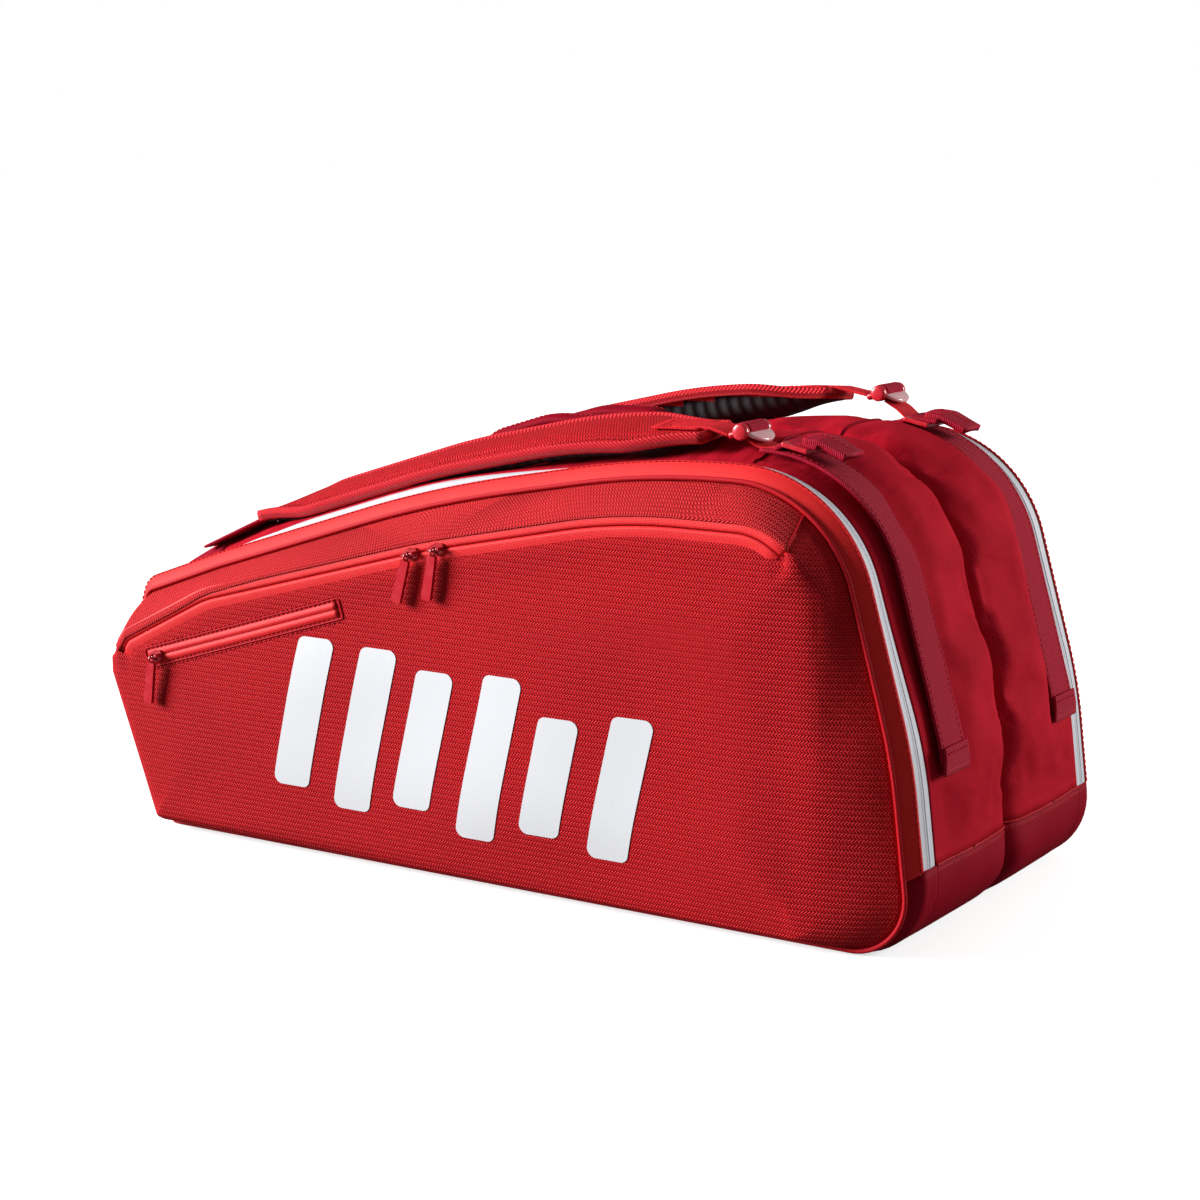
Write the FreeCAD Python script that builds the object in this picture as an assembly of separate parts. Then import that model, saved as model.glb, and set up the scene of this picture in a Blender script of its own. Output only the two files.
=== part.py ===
import FreeCAD
import Part
import math
import os

# Racket tournament bag, in millimetres.
#
# +X runs to the head end (where the racket heads lie), -X to the handle end, +Z is up.
# The near side of the bag is -Y and the far side is +Y. The origin is the middle of the base.
# A padded core holds two racket compartments, one each side of a centre divider. Each
# compartment is closed by a lid that zips round three sides and folds down on its bottom edge,
# and each lid carries an accessory pocket whose front panel folds down in the same way.
# Every near piece is modelled at -Y, and the far side is its mirror image.

# ---------------------------------------------------------------- driving dimensions
TAPE_IN = 131.0          # |Y| where the core's gusset meets its zip tape
ZIP_LINE = 141.0         # |Y| of the main zip's closed teeth
TAPE_OUT = 151.0         # |Y| where the lid's zip tape meets the lid
SEAM_Y = 160.0           # |Y| of the piped seam round the lid
POCKET_Y = 184.0         # |Y| where the pocket's gusset ends
GAP = 0.3                # clearance between pieces that move apart
SKIN = 3.0               # padded fabric wall
LINER = 4.0              # padded wall of the core
TAPE_T = 2.0             # zip tape with its coil
CROWN = 5.0              # how far each compartment bulges past its zip line
VALLEY = 8.0             # how far the divider seam is drawn in
LOBE_Y = 68.0            # |Y| of the top of the bulge
BOOT_Z = 60.0            # height of the boot, and of the main zip's two ends
DIVIDER_HALF = 4.0       # half the width of the seam between the compartments
DIVIDER_T = 6.0          # padded wall between the compartments
BOARD_T = 3.0            # stiff base board

STRAP_Y = 100.0          # |Y| of the middle of each shoulder strap
PAD_W = 62.0
PAD_T = 11.0
WEBBING_W = 38.0
WEBBING_T = 2.5
NARROW_W = 25.0
STRAP_PIVOT = (-318.0, 232.0)

HANDLE_Y = 37.0          # |Y| of each grab handle
HANDLE_R = 6.0

ZIP_RISE = 8.0           # width of each half of the pocket zip's tape
ZIP_PROUD = 2.3          # how far that tape stands out from the end of the gusset
SMALL_ZIP_T = 1.0
SMALL_ZIP_HALF = 8.0     # half the width of the small pocket's welt
PIPING_R = 1.8
PRINT_T = 0.4
ADJUSTER_TILT = -24.0    # degrees, the adjuster's rise towards the head end
RING_TILT = 12.0

# Outlines are corners (x, z, radius) in order round the bag, starting at the bottom left.
# The last side, from the last corner back to the first, is the bottom.
BODY = [
    (-333, 0, 12), (-378.5, 132, 22), (-352, 209, 22), (-268, 239, 260), (-48, 309, 1200),
    (150, 345.5, 700), (305, 345.5, 110), (362, 148, 400), (380.5, 0, 54),
]
FACE = [
    (-325, 10, 8), (-372, 138, 14), (-350, 168, 12), (-262, 212, 120), (-38, 272.5, 900),
    (140, 309.5, 500), (297, 309.5, 62), (303.5, 150, 900), (306, 10, 26),
]

NEAR_PAD = [(-226, 275, 0), (-66, 324, 700), (60, 352, 500), (172, 359, 0)]
FAR_PAD = [(-226, 275, 0), (-66, 332, 700), (60, 361, 500), (172, 371, 0)]
END_STRAP = [(219, 351.8, 0), (309.5, 351.8, 116), (368.2, 149, 120), (370.2, 136, 0)]
HANDLE = [(-98, 302.5, 0), (-70, 336, 34), (-14, 353.5, 70), (40, 354.5, 26), (68, 340, 0)]

V = FreeCAD.Vector
os.makedirs("parts", exist_ok=True)


# ---------------------------------------------------------------- geometry helpers
def unit(ax, az, bx, bz):
    """Unit vector from a to b in the XZ plane."""
    length = math.hypot(bx - ax, bz - az)
    return (bx - ax) / length, (bz - az) / length


def inset(corners, side, bottom=None):
    """The outline with every side moved inward, its bottom by its own amount."""
    bottom = side if bottom is None else bottom
    count = len(corners)
    lines = []
    for i, (x, z, _) in enumerate(corners):
        nx, nz, _ = corners[(i + 1) % count]
        dx, dz = unit(x, z, nx, nz)
        move = bottom if i == count - 1 else side
        lines.append((x + dz * move, z - dx * move, dx, dz))
    moved = []
    for i in range(count):
        px, pz, pdx, pdz = lines[i - 1]
        qx, qz, qdx, qdz = lines[i]
        t = ((qx - px) * qdz - (qz - pz) * qdx) / (pdx * qdz - pdz * qdx)
        radius = max(corners[i][2] - side, 2.0)
        moved.append((px + pdx * t, pz + pdz * t, radius))
    return moved


def outline(corners, y, closed=True):
    """Wire of straight sides joined by tangent arcs, in the plane Y = y."""
    count = len(corners)
    edges = []
    first = None
    last = None
    for i, (x, z, radius) in enumerate(corners):
        here = V(x, y, z)
        end_point = not closed and i in (0, count - 1)
        if radius <= 0 or end_point:
            enter, leave, arc = here, here, None
        else:
            before = V(corners[i - 1][0], y, corners[i - 1][1])
            after = V(corners[(i + 1) % count][0], y, corners[(i + 1) % count][1])
            back = (before - here).normalize()
            ahead = (after - here).normalize()
            half = math.acos(max(-1.0, min(1.0, back.dot(ahead)))) / 2
            cut = radius / math.tan(half)
            middle = (back + ahead).normalize() * (radius / math.sin(half) - radius)
            enter, leave = here + back * cut, here + ahead * cut
            arc = Part.Arc(enter, here + middle, leave).toShape()
        if last is None:
            first = enter
        else:
            edges.append(Part.LineSegment(last, enter).toShape())
        if arc:
            edges.append(arc)
        last = leave
    if closed:
        edges.append(Part.LineSegment(last, first).toShape())
    return Part.Wire(edges)


def plate(corners, y0, y1):
    """Flat piece with this outline, from Y = y0 to Y = y1."""
    return Part.Face(outline(corners, y0)).extrude(V(0, y1 - y0, 0))


def loft(stations):
    """Solid through outlines given as (corners, y)."""
    wires = [outline(corners, y) for corners, y in stations]
    return Part.makeLoft(wires, True, True)


def shell(stations, wall):
    """Loft made hollow, open at both its ends, with a wall of one thickness."""
    inner = [(inset(corners, wall), y) for corners, y in stations]
    first_y, last_y = inner[0][1], inner[-1][1]
    step = 1.0 if last_y > first_y else -1.0
    inner.insert(0, (inner[0][0], first_y - step))
    inner.append((inner[-1][0], last_y + step))
    return loft(stations).cut(loft(inner))


def ribbon(path, thick, y0, y1):
    """Flat strip of one thickness along a rounded path in XZ, from Y = y0 to Y = y1."""
    half = thick / 2
    sides = []
    for sign in (1, -1):
        side = []
        for i, (x, z, radius) in enumerate(path):
            if i == 0:
                dx, dz = unit(x, z, path[1][0], path[1][1])
                side.append((x - dz * half * sign, z + dx * half * sign, 0))
            elif i == len(path) - 1:
                dx, dz = unit(path[i - 1][0], path[i - 1][1], x, z)
                side.append((x - dz * half * sign, z + dx * half * sign, 0))
            else:
                ax, az = unit(path[i - 1][0], path[i - 1][1], x, z)
                bx, bz = unit(x, z, path[i + 1][0], path[i + 1][1])
                turn = ax * bz - az * bx
                nx, nz = -(az + bz), ax + bx
                scale = half * sign / (1 + ax * bx + az * bz)
                bend = radius - math.copysign(half, turn) * sign if radius else 0
                side.append((x + nx * scale, z + nz * scale, max(bend, 0)))
        sides.append(side)
    return plate(sides[0] + sides[1][::-1], y0, y1)


def block(x0, x1, y0, y1, z0, z1):
    return Part.makeBox(x1 - x0, y1 - y0, z1 - z0, V(x0, y0, z0))


def rod(start, end, radius):
    start, end = V(*start), V(*end)
    return Part.makeCylinder(radius, (end - start).Length, start, end - start)


def turned(shape, angle, at, axis=(0, 1, 0)):
    copy = shape.copy()
    copy.rotate(V(*at), V(*axis), angle)
    return copy


def far(shape):
    """Mirror image on the far side of the bag."""
    return shape.mirror(V(0, 0, 0), V(0, 1, 0))


def save(name, *solids):
    shape = solids[0] if len(solids) == 1 else Part.makeCompound(list(solids))
    if not shape.isValid() or len(shape.Solids) < 1:
        raise ValueError("bad solid: " + name)
    shape.exportStep("parts/" + name + ".step")


def save_pair(name, *solids):
    save("near_" + name, *solids)
    save("far_" + name, *[far(solid) for solid in solids])


ABOVE_BOOT = block(-500, 500, -300, 300, BOOT_Z + GAP, 500)
BELOW_BOOT = block(-500, 500, -300, 300, -100, BOOT_Z)


def body_at(side):
    """The body outline moved inward, with its bottom left on the floor."""
    return inset(BODY, side, 0)


# ---------------------------------------------------------------- core
def lobe():
    """Wall of one compartment, from its zip tape to the divider seam."""
    outer = [(BODY, -TAPE_IN), (body_at(-CROWN), -LOBE_Y), (body_at(VALLEY), -DIVIDER_HALF)]
    inner = []
    for corners, y in outer:
        inner.append((inset(corners, LINER), y))
    inner.insert(0, (inner[0][0], -TAPE_IN - 1))
    inner.append((inner[-1][0], 0.0))
    return loft(outer).cut(loft(inner))


def edge_ring(y0, y1, thick):
    """Strip round the zip line."""
    return plate(BODY, y0, y1).cut(plate(inset(BODY, thick), y0 - 1, y1 + 1))


def make_core():
    wall = lobe()
    gusset = wall.common(ABOVE_BOOT)
    save_pair("compartment_gusset", gusset)
    tape = edge_ring(-ZIP_LINE + GAP / 2, -TAPE_IN, TAPE_T).common(ABOVE_BOOT)
    save_pair("core_zip_tape", tape)

    boot_side = wall.common(BELOW_BOOT)
    boot_edge = edge_ring(-ZIP_LINE + GAP / 2, -TAPE_IN, LINER).common(BELOW_BOOT)
    seam = plate(body_at(VALLEY), -DIVIDER_HALF, DIVIDER_HALF)
    seam = seam.cut(plate(inset(body_at(VALLEY), LINER), -DIVIDER_HALF - 1, DIVIDER_HALF + 1))
    boot = boot_side.fuse([boot_edge, far(boot_side), far(boot_edge), seam.common(BELOW_BOOT)])
    base = block(-318, 316, -ZIP_LINE + GAP / 2, ZIP_LINE - GAP / 2, 0, LINER)
    save("boot_panel", boot.cut(base).fuse(base).removeSplitter())

    save("seam_binding", seam.common(ABOVE_BOOT))
    divider = plate(inset(body_at(VALLEY), LINER + GAP), -DIVIDER_T / 2, DIVIDER_T / 2)
    save("centre_divider", divider)
    board = block(-312, 312, 5 - TAPE_IN, -DIVIDER_HALF, LINER + GAP, LINER + GAP + BOARD_T)
    save("base_boards", board, far(board))


# ---------------------------------------------------------------- lids and pockets
SEAM = inset(BODY, 13, 5)
FRONT_Y = -POCKET_Y - SKIN - GAP


def pocket_zip_zone():
    """Where the pocket zip runs: the top edge of the front panel."""
    return block(-366, 280, -300, 0, 158, 400)


def make_lid():
    tape = edge_ring(-TAPE_OUT, -ZIP_LINE - GAP / 2, TAPE_T).common(ABOVE_BOOT)
    save_pair("lid_zip_tape", tape)

    band = shell([(SEAM, -SEAM_Y), (BODY, -TAPE_OUT)], SKIN)
    edge = edge_ring(-TAPE_OUT, -ZIP_LINE - GAP / 2, SKIN).common(BELOW_BOOT)
    save_pair("lid_band", band.fuse(edge))

    wall_outline = inset(BODY, 20, 12)
    save_pair("lid_inner_wall", plate(wall_outline, -SEAM_Y + 3, -SEAM_Y))

    gusset = shell([(FACE, -POCKET_Y), (SEAM, -SEAM_Y)], SKIN)
    save_pair("pocket_gusset", gusset)

    bead = outline(inset(SEAM, -2.2), -SEAM_Y - 1.0)
    start = bead.Edges[0]
    ring = Part.Wire(Part.makeCircle(PIPING_R, start.valueAt(start.FirstParameter),
                                     start.tangentAt(start.FirstParameter)))
    piping = bead.makePipeShell([ring], True, False)
    save_pair("lid_piping", piping)


def make_pocket():
    rim = plate(FACE, -POCKET_Y - ZIP_PROUD, -POCKET_Y - GAP)
    rim = rim.cut(plate(inset(FACE, ZIP_RISE), -300, -100))
    save_pair("pocket_zip_upper_tape", rim.common(pocket_zip_zone()))

    inner_edge = inset(FACE, ZIP_RISE + GAP)
    lower = plate(inner_edge, -POCKET_Y - ZIP_PROUD, -POCKET_Y - GAP)
    lower = lower.cut(plate(inset(FACE, 2 * ZIP_RISE), -300, -100))
    save_pair("pocket_zip_lower_tape", lower.common(pocket_zip_zone()))

    panel = plate(FACE, FRONT_Y, -POCKET_Y - GAP)
    strip = plate(inset(FACE, -5), -300, -100)
    strip = strip.cut(plate(inset(FACE, 2 * ZIP_RISE + 0.1), -301, -99))
    save_pair("front_panel", panel.cut(strip.common(pocket_zip_zone())))


SMALL_LOW = (-323.0, 149.0)       # middle of the small pocket zip's left end
SMALL_HIGH = (-117.0, 212.0)      # middle of its right end


def slanted_box(low, high, half_width, y0, y1, trim=0.0):
    """Flat bar between two points in XZ, its ends drawn in by trim."""
    dx, dz = unit(low[0], low[1], high[0], high[1])
    ax, az = low[0] + dx * trim, low[1] + dz * trim
    bx, bz = high[0] - dx * trim, high[1] - dz * trim
    ox, oz = -dz * half_width, dx * half_width
    corners = [(ax - ox, az - oz, 0), (ax + ox, az + oz, 0),
               (bx + ox, bz + oz, 0), (bx - ox, bz - oz, 0)]
    return plate(corners, y0, y1)


def make_small_pocket():
    frame = slanted_box(SMALL_LOW, SMALL_HIGH, SMALL_ZIP_HALF, FRONT_Y - SMALL_ZIP_T, FRONT_Y)
    slot = slanted_box(SMALL_LOW, SMALL_HIGH, 4.2, -300, -100, 5)
    save("small_pocket_welt", frame.cut(slot))
    tape = slanted_box(SMALL_LOW, SMALL_HIGH, 4, FRONT_Y - SMALL_ZIP_T, FRONT_Y, 5.2)
    save("small_pocket_zip_tape", tape)
    pouch = [(-300, 60, 14), (-322, 120, 4), (-300, 148, 4), (-120, 200, 4), (-110, 60, 14)]
    save("small_pocket_pouch", plate(pouch, -POCKET_Y + 0.2, -POCKET_Y + 2.2))


def make_print():
    """Plain slanted bars printed on the near front panel."""
    bars = []
    for x, low, high in ((-188, 62, 186), (-128, 50, 184), (-68, 60, 172), (-8, 44, 176),
                         (52, 56, 150), (112, 46, 158)):
        lean = (high - low) * 0.24
        corners = [(x, low, 7), (x + lean, high, 7), (x + lean + 36, high, 7), (x + 36, low, 7)]
        bars.append(plate(corners, FRONT_Y - PRINT_T, FRONT_Y))
    save("front_print", *bars)


# ---------------------------------------------------------------- sliders and pulls
BRIDGE = 6.0             # height of a slider's bridge above its base
PULL_LENGTH = 40.0


def slider(crosswise=False):
    """Slider in its own frame: it runs along X and its bridge stands out along -Y."""
    base = plate([(-6.5, -3.2, 1), (-6.5, 3.2, 1), (0, 5, 3), (6.5, 3.6, 1), (6.5, -3.6, 1),
                  (0, -5, 3)], -2.0, 0)
    posts = [block(side * 4.6 - 0.9, side * 4.6 + 0.9, -BRIDGE - 0.9, -1.9, -1.3, 1.3)
             for side in (-1, 1)]
    bridge = rod((-4.6, -BRIDGE, 0), (4.6, -BRIDGE, 0), 0.9).fuse(posts)
    if crosswise:
        bridge = turned(bridge, 90, (0, 0, 0))
    return base.fuse(bridge)


def pull():
    """Wire loop and moulded tab, hung on the bridge bar, with the bar's axis along X."""
    loop = Part.makeTorus(3.3, 0.7, V(0, -BRIDGE, -1.5), V(1, 0, 0))
    tab = plate([(-3.6, -4.4, 1.5), (3.6, -4.4, 1.5), (4.4, -PULL_LENGTH, 2),
                 (-4.4, -PULL_LENGTH, 2)], -BRIDGE - 1.6, -BRIDGE + 1.6)
    return tab.fuse(loop)


def put(shape, x, y, z, angle):
    """Turn a slider or pull about Y, then move it to its place."""
    copy = turned(shape, angle, (0, 0, 0))
    copy.translate(V(x, y, z))
    return copy


ZIP_FACE_Y = -POCKET_Y - ZIP_PROUD - GAP
MAIN_SLIDER_Z = 74.0
POCKET_SLIDERS = {"left": (-47.0, 261.6, -15.1, 16.0), "right": (-22.0, 267.5, -11.7, 10.0)}


def make_zip_pulls():
    for name, (x, z, slope, lean) in POCKET_SLIDERS.items():
        save_pair("pocket_slider_" + name, put(slider(), x, ZIP_FACE_Y, z, slope))
        save_pair("pocket_pull_" + name, put(pull(), x, ZIP_FACE_Y, z, lean))
    small_y = FRONT_Y - SMALL_ZIP_T - GAP
    rise = math.atan2(SMALL_HIGH[1] - SMALL_LOW[1], SMALL_HIGH[0] - SMALL_LOW[0])
    small_x, small_z = SMALL_LOW[0] + 12, SMALL_LOW[1] + 3.7
    save("small_slider", put(slider(), small_x, small_y, small_z, -math.degrees(rise)))
    save("small_pull", put(pull(), small_x, small_y, small_z, 8.0))

    # The main zip's slider faces -X, at the low end of the zip on the handle end.
    (x0, z0, _), (x1, z1, _) = BODY[0], BODY[1]
    dx, dz = unit(x0, z0, x1, z1)
    lean = math.degrees(math.atan2(dx, dz))
    along = (MAIN_SLIDER_Z - z0) / dz
    seat_x, seat_z = x0 + dx * along - dz * 0.4, MAIN_SLIDER_Z + dx * 0.4
    body = turned(slider(crosswise=True), -90, (0, 0, 0), (0, 0, 1))
    body = turned(body, 90, (0, 0, 0), (1, 0, 0))
    body = turned(body, lean, (0, 0, 0))
    body.translate(V(seat_x, -ZIP_LINE, seat_z))
    hung = turned(pull(), -90, (0, 0, 0), (0, 0, 1))
    hung.translate(V(seat_x - dz * BRIDGE + BRIDGE, -ZIP_LINE, seat_z + dx * BRIDGE))
    save_pair("main_slider", body)
    save_pair("main_pull", hung)


# ---------------------------------------------------------------- straps
def make_shoulder(side, pad_path, reach):
    """One shoulder strap: anchor webbing, pad, its tab, the adjuster and the narrow webbing."""
    near = side == "near_"

    def keep(name, *solids):
        save(side + name, *[solid if near else far(solid) for solid in solids])

    mid = -STRAP_Y
    end_x, end_z, _ = pad_path[-1]
    pad = ribbon(pad_path, PAD_T, mid - PAD_W / 2, mid + PAD_W / 2)
    keep("shoulder_pad", pad)
    start_x, start_z, _ = pad_path[0]
    anchor = ribbon([(STRAP_PIVOT[0] + 1, STRAP_PIVOT[1] + 1, 0), (start_x - 0.3, start_z - 0.2, 0)],
                    WEBBING_T, mid - WEBBING_W / 2, mid + WEBBING_W / 2)
    keep("anchor_webbing", anchor)

    bar_x, bar_z = end_x + reach, end_z + 2
    tab = ribbon([(end_x - 36, end_z + 6, 0), (end_x + 1, end_z + 7.6, 0), (bar_x - 4.2, bar_z, 0)],
                 2.0, mid - NARROW_W / 2, mid + NARROW_W / 2)
    keep("pad_tab", tab.cut(pad))

    frame = block(bar_x - 2.5, bar_x + 21, mid - 22, mid + 22, bar_z - 2.5, bar_z + 2.5)
    frame = frame.makeFillet(2.0, frame.Edges)
    slots = [block(bar_x + a, bar_x + b, mid - 15, mid + 15, bar_z - 9, bar_z + 9)
             for a, b in ((2.5, 7.5), (10.5, 16))]
    lip = rod((bar_x + 18.5, mid - 21, bar_z + 2), (bar_x + 18.5, mid + 21, bar_z + 2), 3.2)
    adjuster = turned(frame.cut(slots).fuse(lip), ADJUSTER_TILT, (bar_x, mid, bar_z))
    keep("strap_adjuster", adjuster)

    link_x, link_z = bar_x + 12, bar_z - 7
    link = ribbon([(link_x, link_z, 0), (236.5, 357.5, 0)], 1.6,
                  mid - NARROW_W / 2, mid + NARROW_W / 2)
    keep("adjuster_webbing", link)


def make_end_straps():
    """Webbing from the boot seam up over the head end, its ring, tail and sewn foot."""
    mid = -STRAP_Y
    y0, y1 = mid - WEBBING_W / 2, mid + WEBBING_W / 2
    strap = ribbon(END_STRAP, WEBBING_T, y0, y1)
    save("end_straps", strap, far(strap))
    ring = block(239, 261, y0 - 5, y1 + 5, 354, 358).cut(block(245, 256, y0 - 1, y1 + 1, 350, 362))
    ring = turned(ring.makeFillet(1.4, ring.Edges), RING_TILT, (250, 0, 356))
    save("strap_rings", ring, far(ring))
    tail = ribbon([(262, 353.5, 0), (288, 344, 0)], 1.8, y0, y1)
    save("strap_tails", tail, far(tail))


def make_anchors():
    """Patches sewn to the core: strap feet, strap anchors and handle anchors."""
    foot = block(364.5, 372.5, -STRAP_Y - 19, -STRAP_Y + 19, 132, 146)
    foot = foot.cut(lobe()).cut(ribbon(END_STRAP, WEBBING_T, -200, 0))
    foot = max(foot.Solids, key=lambda solid: solid.CenterOfMass.x)
    patch = ribbon([(-342, 219, 0), (-304, 232.5, 0)], 2.0, -STRAP_Y - 24, -STRAP_Y + 24)
    save("strap_anchor_patches", patch, far(patch))
    save("strap_feet", foot, far(foot))
    studs = []
    for x, z, _ in (HANDLE[0], HANDLE[-1]):
        slope = 0.318 if x < 0 else 0.19
        stud = ribbon([(x - 15, z - 7.6 - 15 * slope, 0), (x + 15, z - 7.6 + 15 * slope, 0)],
                      2.0, -HANDLE_Y - 8, -HANDLE_Y + 8)
        studs.append(stud)
        studs.append(far(stud))
    save("handle_anchor_patches", *studs)


def make_handles():
    path = outline(HANDLE, -HANDLE_Y, closed=False)
    start = path.Edges[0]
    ring = Part.Wire(Part.makeCircle(HANDLE_R, start.valueAt(start.FirstParameter),
                                     start.tangentAt(start.FirstParameter)))
    save_pair("grab_handle", path.makePipeShell([ring], True, False))


make_core()
make_lid()
make_pocket()
make_small_pocket()
make_print()
make_zip_pulls()
make_shoulder("near_", NEAR_PAD, 22)
make_shoulder("far_", FAR_PAD, 34)
make_end_straps()
make_anchors()
make_handles()
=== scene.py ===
import math
from itertools import product
import bpy
import numpy as np
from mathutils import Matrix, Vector, noise
from mathutils.bvhtree import BVHTree
from mathutils.geometry import delaunay_2d_cdt


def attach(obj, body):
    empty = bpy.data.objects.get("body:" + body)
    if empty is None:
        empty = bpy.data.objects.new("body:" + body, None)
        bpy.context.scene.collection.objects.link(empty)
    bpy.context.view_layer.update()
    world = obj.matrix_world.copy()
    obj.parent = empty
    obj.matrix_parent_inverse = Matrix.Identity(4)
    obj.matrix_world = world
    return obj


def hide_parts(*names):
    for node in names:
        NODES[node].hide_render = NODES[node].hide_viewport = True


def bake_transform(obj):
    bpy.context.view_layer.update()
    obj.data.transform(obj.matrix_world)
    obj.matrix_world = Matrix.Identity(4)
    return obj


# Racket tournament bag. Shapes are worked out in millimetres, in the CAD's own frame, and turned
# into metres when a mesh is made. +X is the head end, -Y the near side, +Z up.

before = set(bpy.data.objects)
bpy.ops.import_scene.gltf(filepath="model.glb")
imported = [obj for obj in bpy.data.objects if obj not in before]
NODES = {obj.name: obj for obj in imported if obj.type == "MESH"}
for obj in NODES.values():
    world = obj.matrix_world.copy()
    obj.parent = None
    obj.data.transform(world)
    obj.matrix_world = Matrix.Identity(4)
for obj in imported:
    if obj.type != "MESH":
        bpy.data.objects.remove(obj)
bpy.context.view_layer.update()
MM = 0.001

# ------------------------------------------------------------------ the bag's lines, as in the CAD
BODY = [
    (-333, 0, 12), (-378.5, 132, 22), (-352, 209, 22), (-268, 239, 260), (-48, 309, 1200),
    (150, 345.5, 700), (305, 345.5, 110), (362, 148, 400), (380.5, 0, 54),
]
FACE = [
    (-325, 10, 8), (-372, 138, 14), (-350, 168, 12), (-262, 212, 120), (-38, 272.5, 900),
    (140, 309.5, 500), (297, 309.5, 62), (303.5, 150, 900), (306, 10, 26),
]
NEAR_PAD = [(-254, 264.5, 0), (-66, 324, 700), (60, 352, 500), (172, 359, 0)]
FAR_PAD = [(-254, 264.5, 0), (-66, 332, 700), (60, 361, 500), (172, 371, 0)]
END_STRAP = [(219, 351.8, 0), (309.5, 351.8, 116), (368.2, 149, 120), (370.2, 136, 0)]
HANDLE = [(-98, 302.5, 0), (-70, 336, 34), (-14, 353.5, 70), (40, 354.5, 26), (68, 340, 0)]
TAPE_IN, ZIP_LINE, TAPE_OUT, SEAM_Y = 131.0, 141.0, 151.0, 160.0
POCKET_Y, FACE_Y = 184.0, 187.3
BOOT_Z = 60.0
STRAP_Y = 100.0
HANDLE_Y = 37.0
ZIP_RISE = 8.0
STEP = 6.0               # spacing of points along an outline
FLOOR_GAP = 0.3          # how far cloth stays above the floor
HANDLE_SWINGS = (-50, 35)               # degrees, towards and away from the bag's middle


# ------------------------------------------------------------------ outlines
def unit(v):
    return v / np.linalg.norm(v)


def smooth(x):
    x = np.clip(x, 0.0, 1.0)
    return x * x * (3 - 2 * x)


def inset(corners, side, bottom=None):
    """The outline with every side moved inward, its bottom by its own amount."""
    bottom = side if bottom is None else bottom
    count = len(corners)
    lines = []
    for i, (x, z, _) in enumerate(corners):
        nx, nz, _ = corners[(i + 1) % count]
        dx, dz = unit(np.array((nx - x, nz - z), float))
        move = bottom if i == count - 1 else side
        lines.append((x + dz * move, z - dx * move, dx, dz))
    moved = []
    for i in range(count):
        px, pz, pdx, pdz = lines[i - 1]
        qx, qz, qdx, qdz = lines[i]
        t = ((qx - px) * qdz - (qz - pz) * qdx) / (pdx * qdz - pdz * qdx)
        moved.append((px + pdx * t, pz + pdz * t, max(corners[i][2] - side, 2.0)))
    return moved


def arcs_of(corners, closed=True):
    """For each corner, where its arc starts and ends, its centre and its radius."""
    count = len(corners)
    found = []
    for i, (x, z, radius) in enumerate(corners):
        here = np.array((x, z), float)
        if radius <= 0 or (not closed and i in (0, count - 1)):
            found.append((here, here, here, 0.0))
            continue
        back = unit(np.array(corners[i - 1][:2], float) - here)
        ahead = unit(np.array(corners[(i + 1) % count][:2], float) - here)
        half = math.acos(np.clip(back @ ahead, -1, 1)) / 2
        cut = radius / math.tan(half)
        centre = here + unit(back + ahead) * radius / math.sin(half)
        found.append((here + back * cut, here + ahead * cut, centre, radius))
    return found


def arc_points(arc, count):
    enter, leave, centre, radius = arc
    a = math.atan2(enter[1] - centre[1], enter[0] - centre[0])
    b = math.atan2(leave[1] - centre[1], leave[0] - centre[0])
    turn = (b - a + math.pi) % (2 * math.pi) - math.pi
    angles = a + turn * np.linspace(0, 1, count + 1)
    out = np.stack([np.cos(angles), np.sin(angles)], 1)
    return centre + radius * out, out * (1 if turn < 0 else -1)


def piece_counts(corners):
    """How many steps each arc and each straight of the body outline takes."""
    arcs = arcs_of(corners)
    counts = []
    for i, (enter, leave, _, _) in enumerate(arcs):
        following = arcs[(i + 1) % len(arcs)][0]
        counts.append((max(6, int(np.linalg.norm(leave - enter) / STEP)),
                       max(2, int(np.linalg.norm(following - leave) / STEP))))
    return counts


COUNTS = piece_counts(BODY)
SIDE_FROM = [sum(a + b for a, b in COUNTS[:i]) + COUNTS[i][0] for i in range(len(COUNTS))]
RING = sum(a + b for a, b in COUNTS)


def ring(corners):
    """Points round an outline and its outward directions. Rings match each other by index."""
    arcs = arcs_of(corners)
    points, outward = [], []
    for i, arc in enumerate(arcs):
        p, n = arc_points(arc, COUNTS[i][0])
        points.extend(p)
        outward.extend(n)
        leave, following = arc[1], arcs[(i + 1) % len(arcs)][0]
        along = unit(following - leave)
        for k in range(1, COUNTS[i][1]):
            points.append(leave + (following - leave) * k / COUNTS[i][1])
            outward.append((-along[1], along[0]))
    return np.array(points), np.array(outward)


def at(values, t):
    """Values of a ring at fractional indices, past its end too."""
    t = np.asarray(t, float) % RING
    i = np.floor(t).astype(int)
    f = (t - i)[:, None]
    return values[i % RING] * (1 - f) + values[(i + 1) % RING] * f


def span(t0, t1):
    """Indices from t0 on to t1, going round past the start if need be."""
    if t1 < t0:
        t1 += RING
    inside = np.arange(math.floor(t0) + 1, math.ceil(t1))
    return np.concatenate([[t0], inside[(inside > t0 + 0.2) & (inside < t1 - 0.2)], [t1]])


def side_index(points, side, height):
    """Where a side of the outline passes a height."""
    i = np.arange(SIDE_FROM[side], SIDE_FROM[side] + COUNTS[side][1])
    z = points[i % RING, 1]
    order = np.argsort(z)
    return float(np.interp(height, z[order], i[order]))


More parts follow.
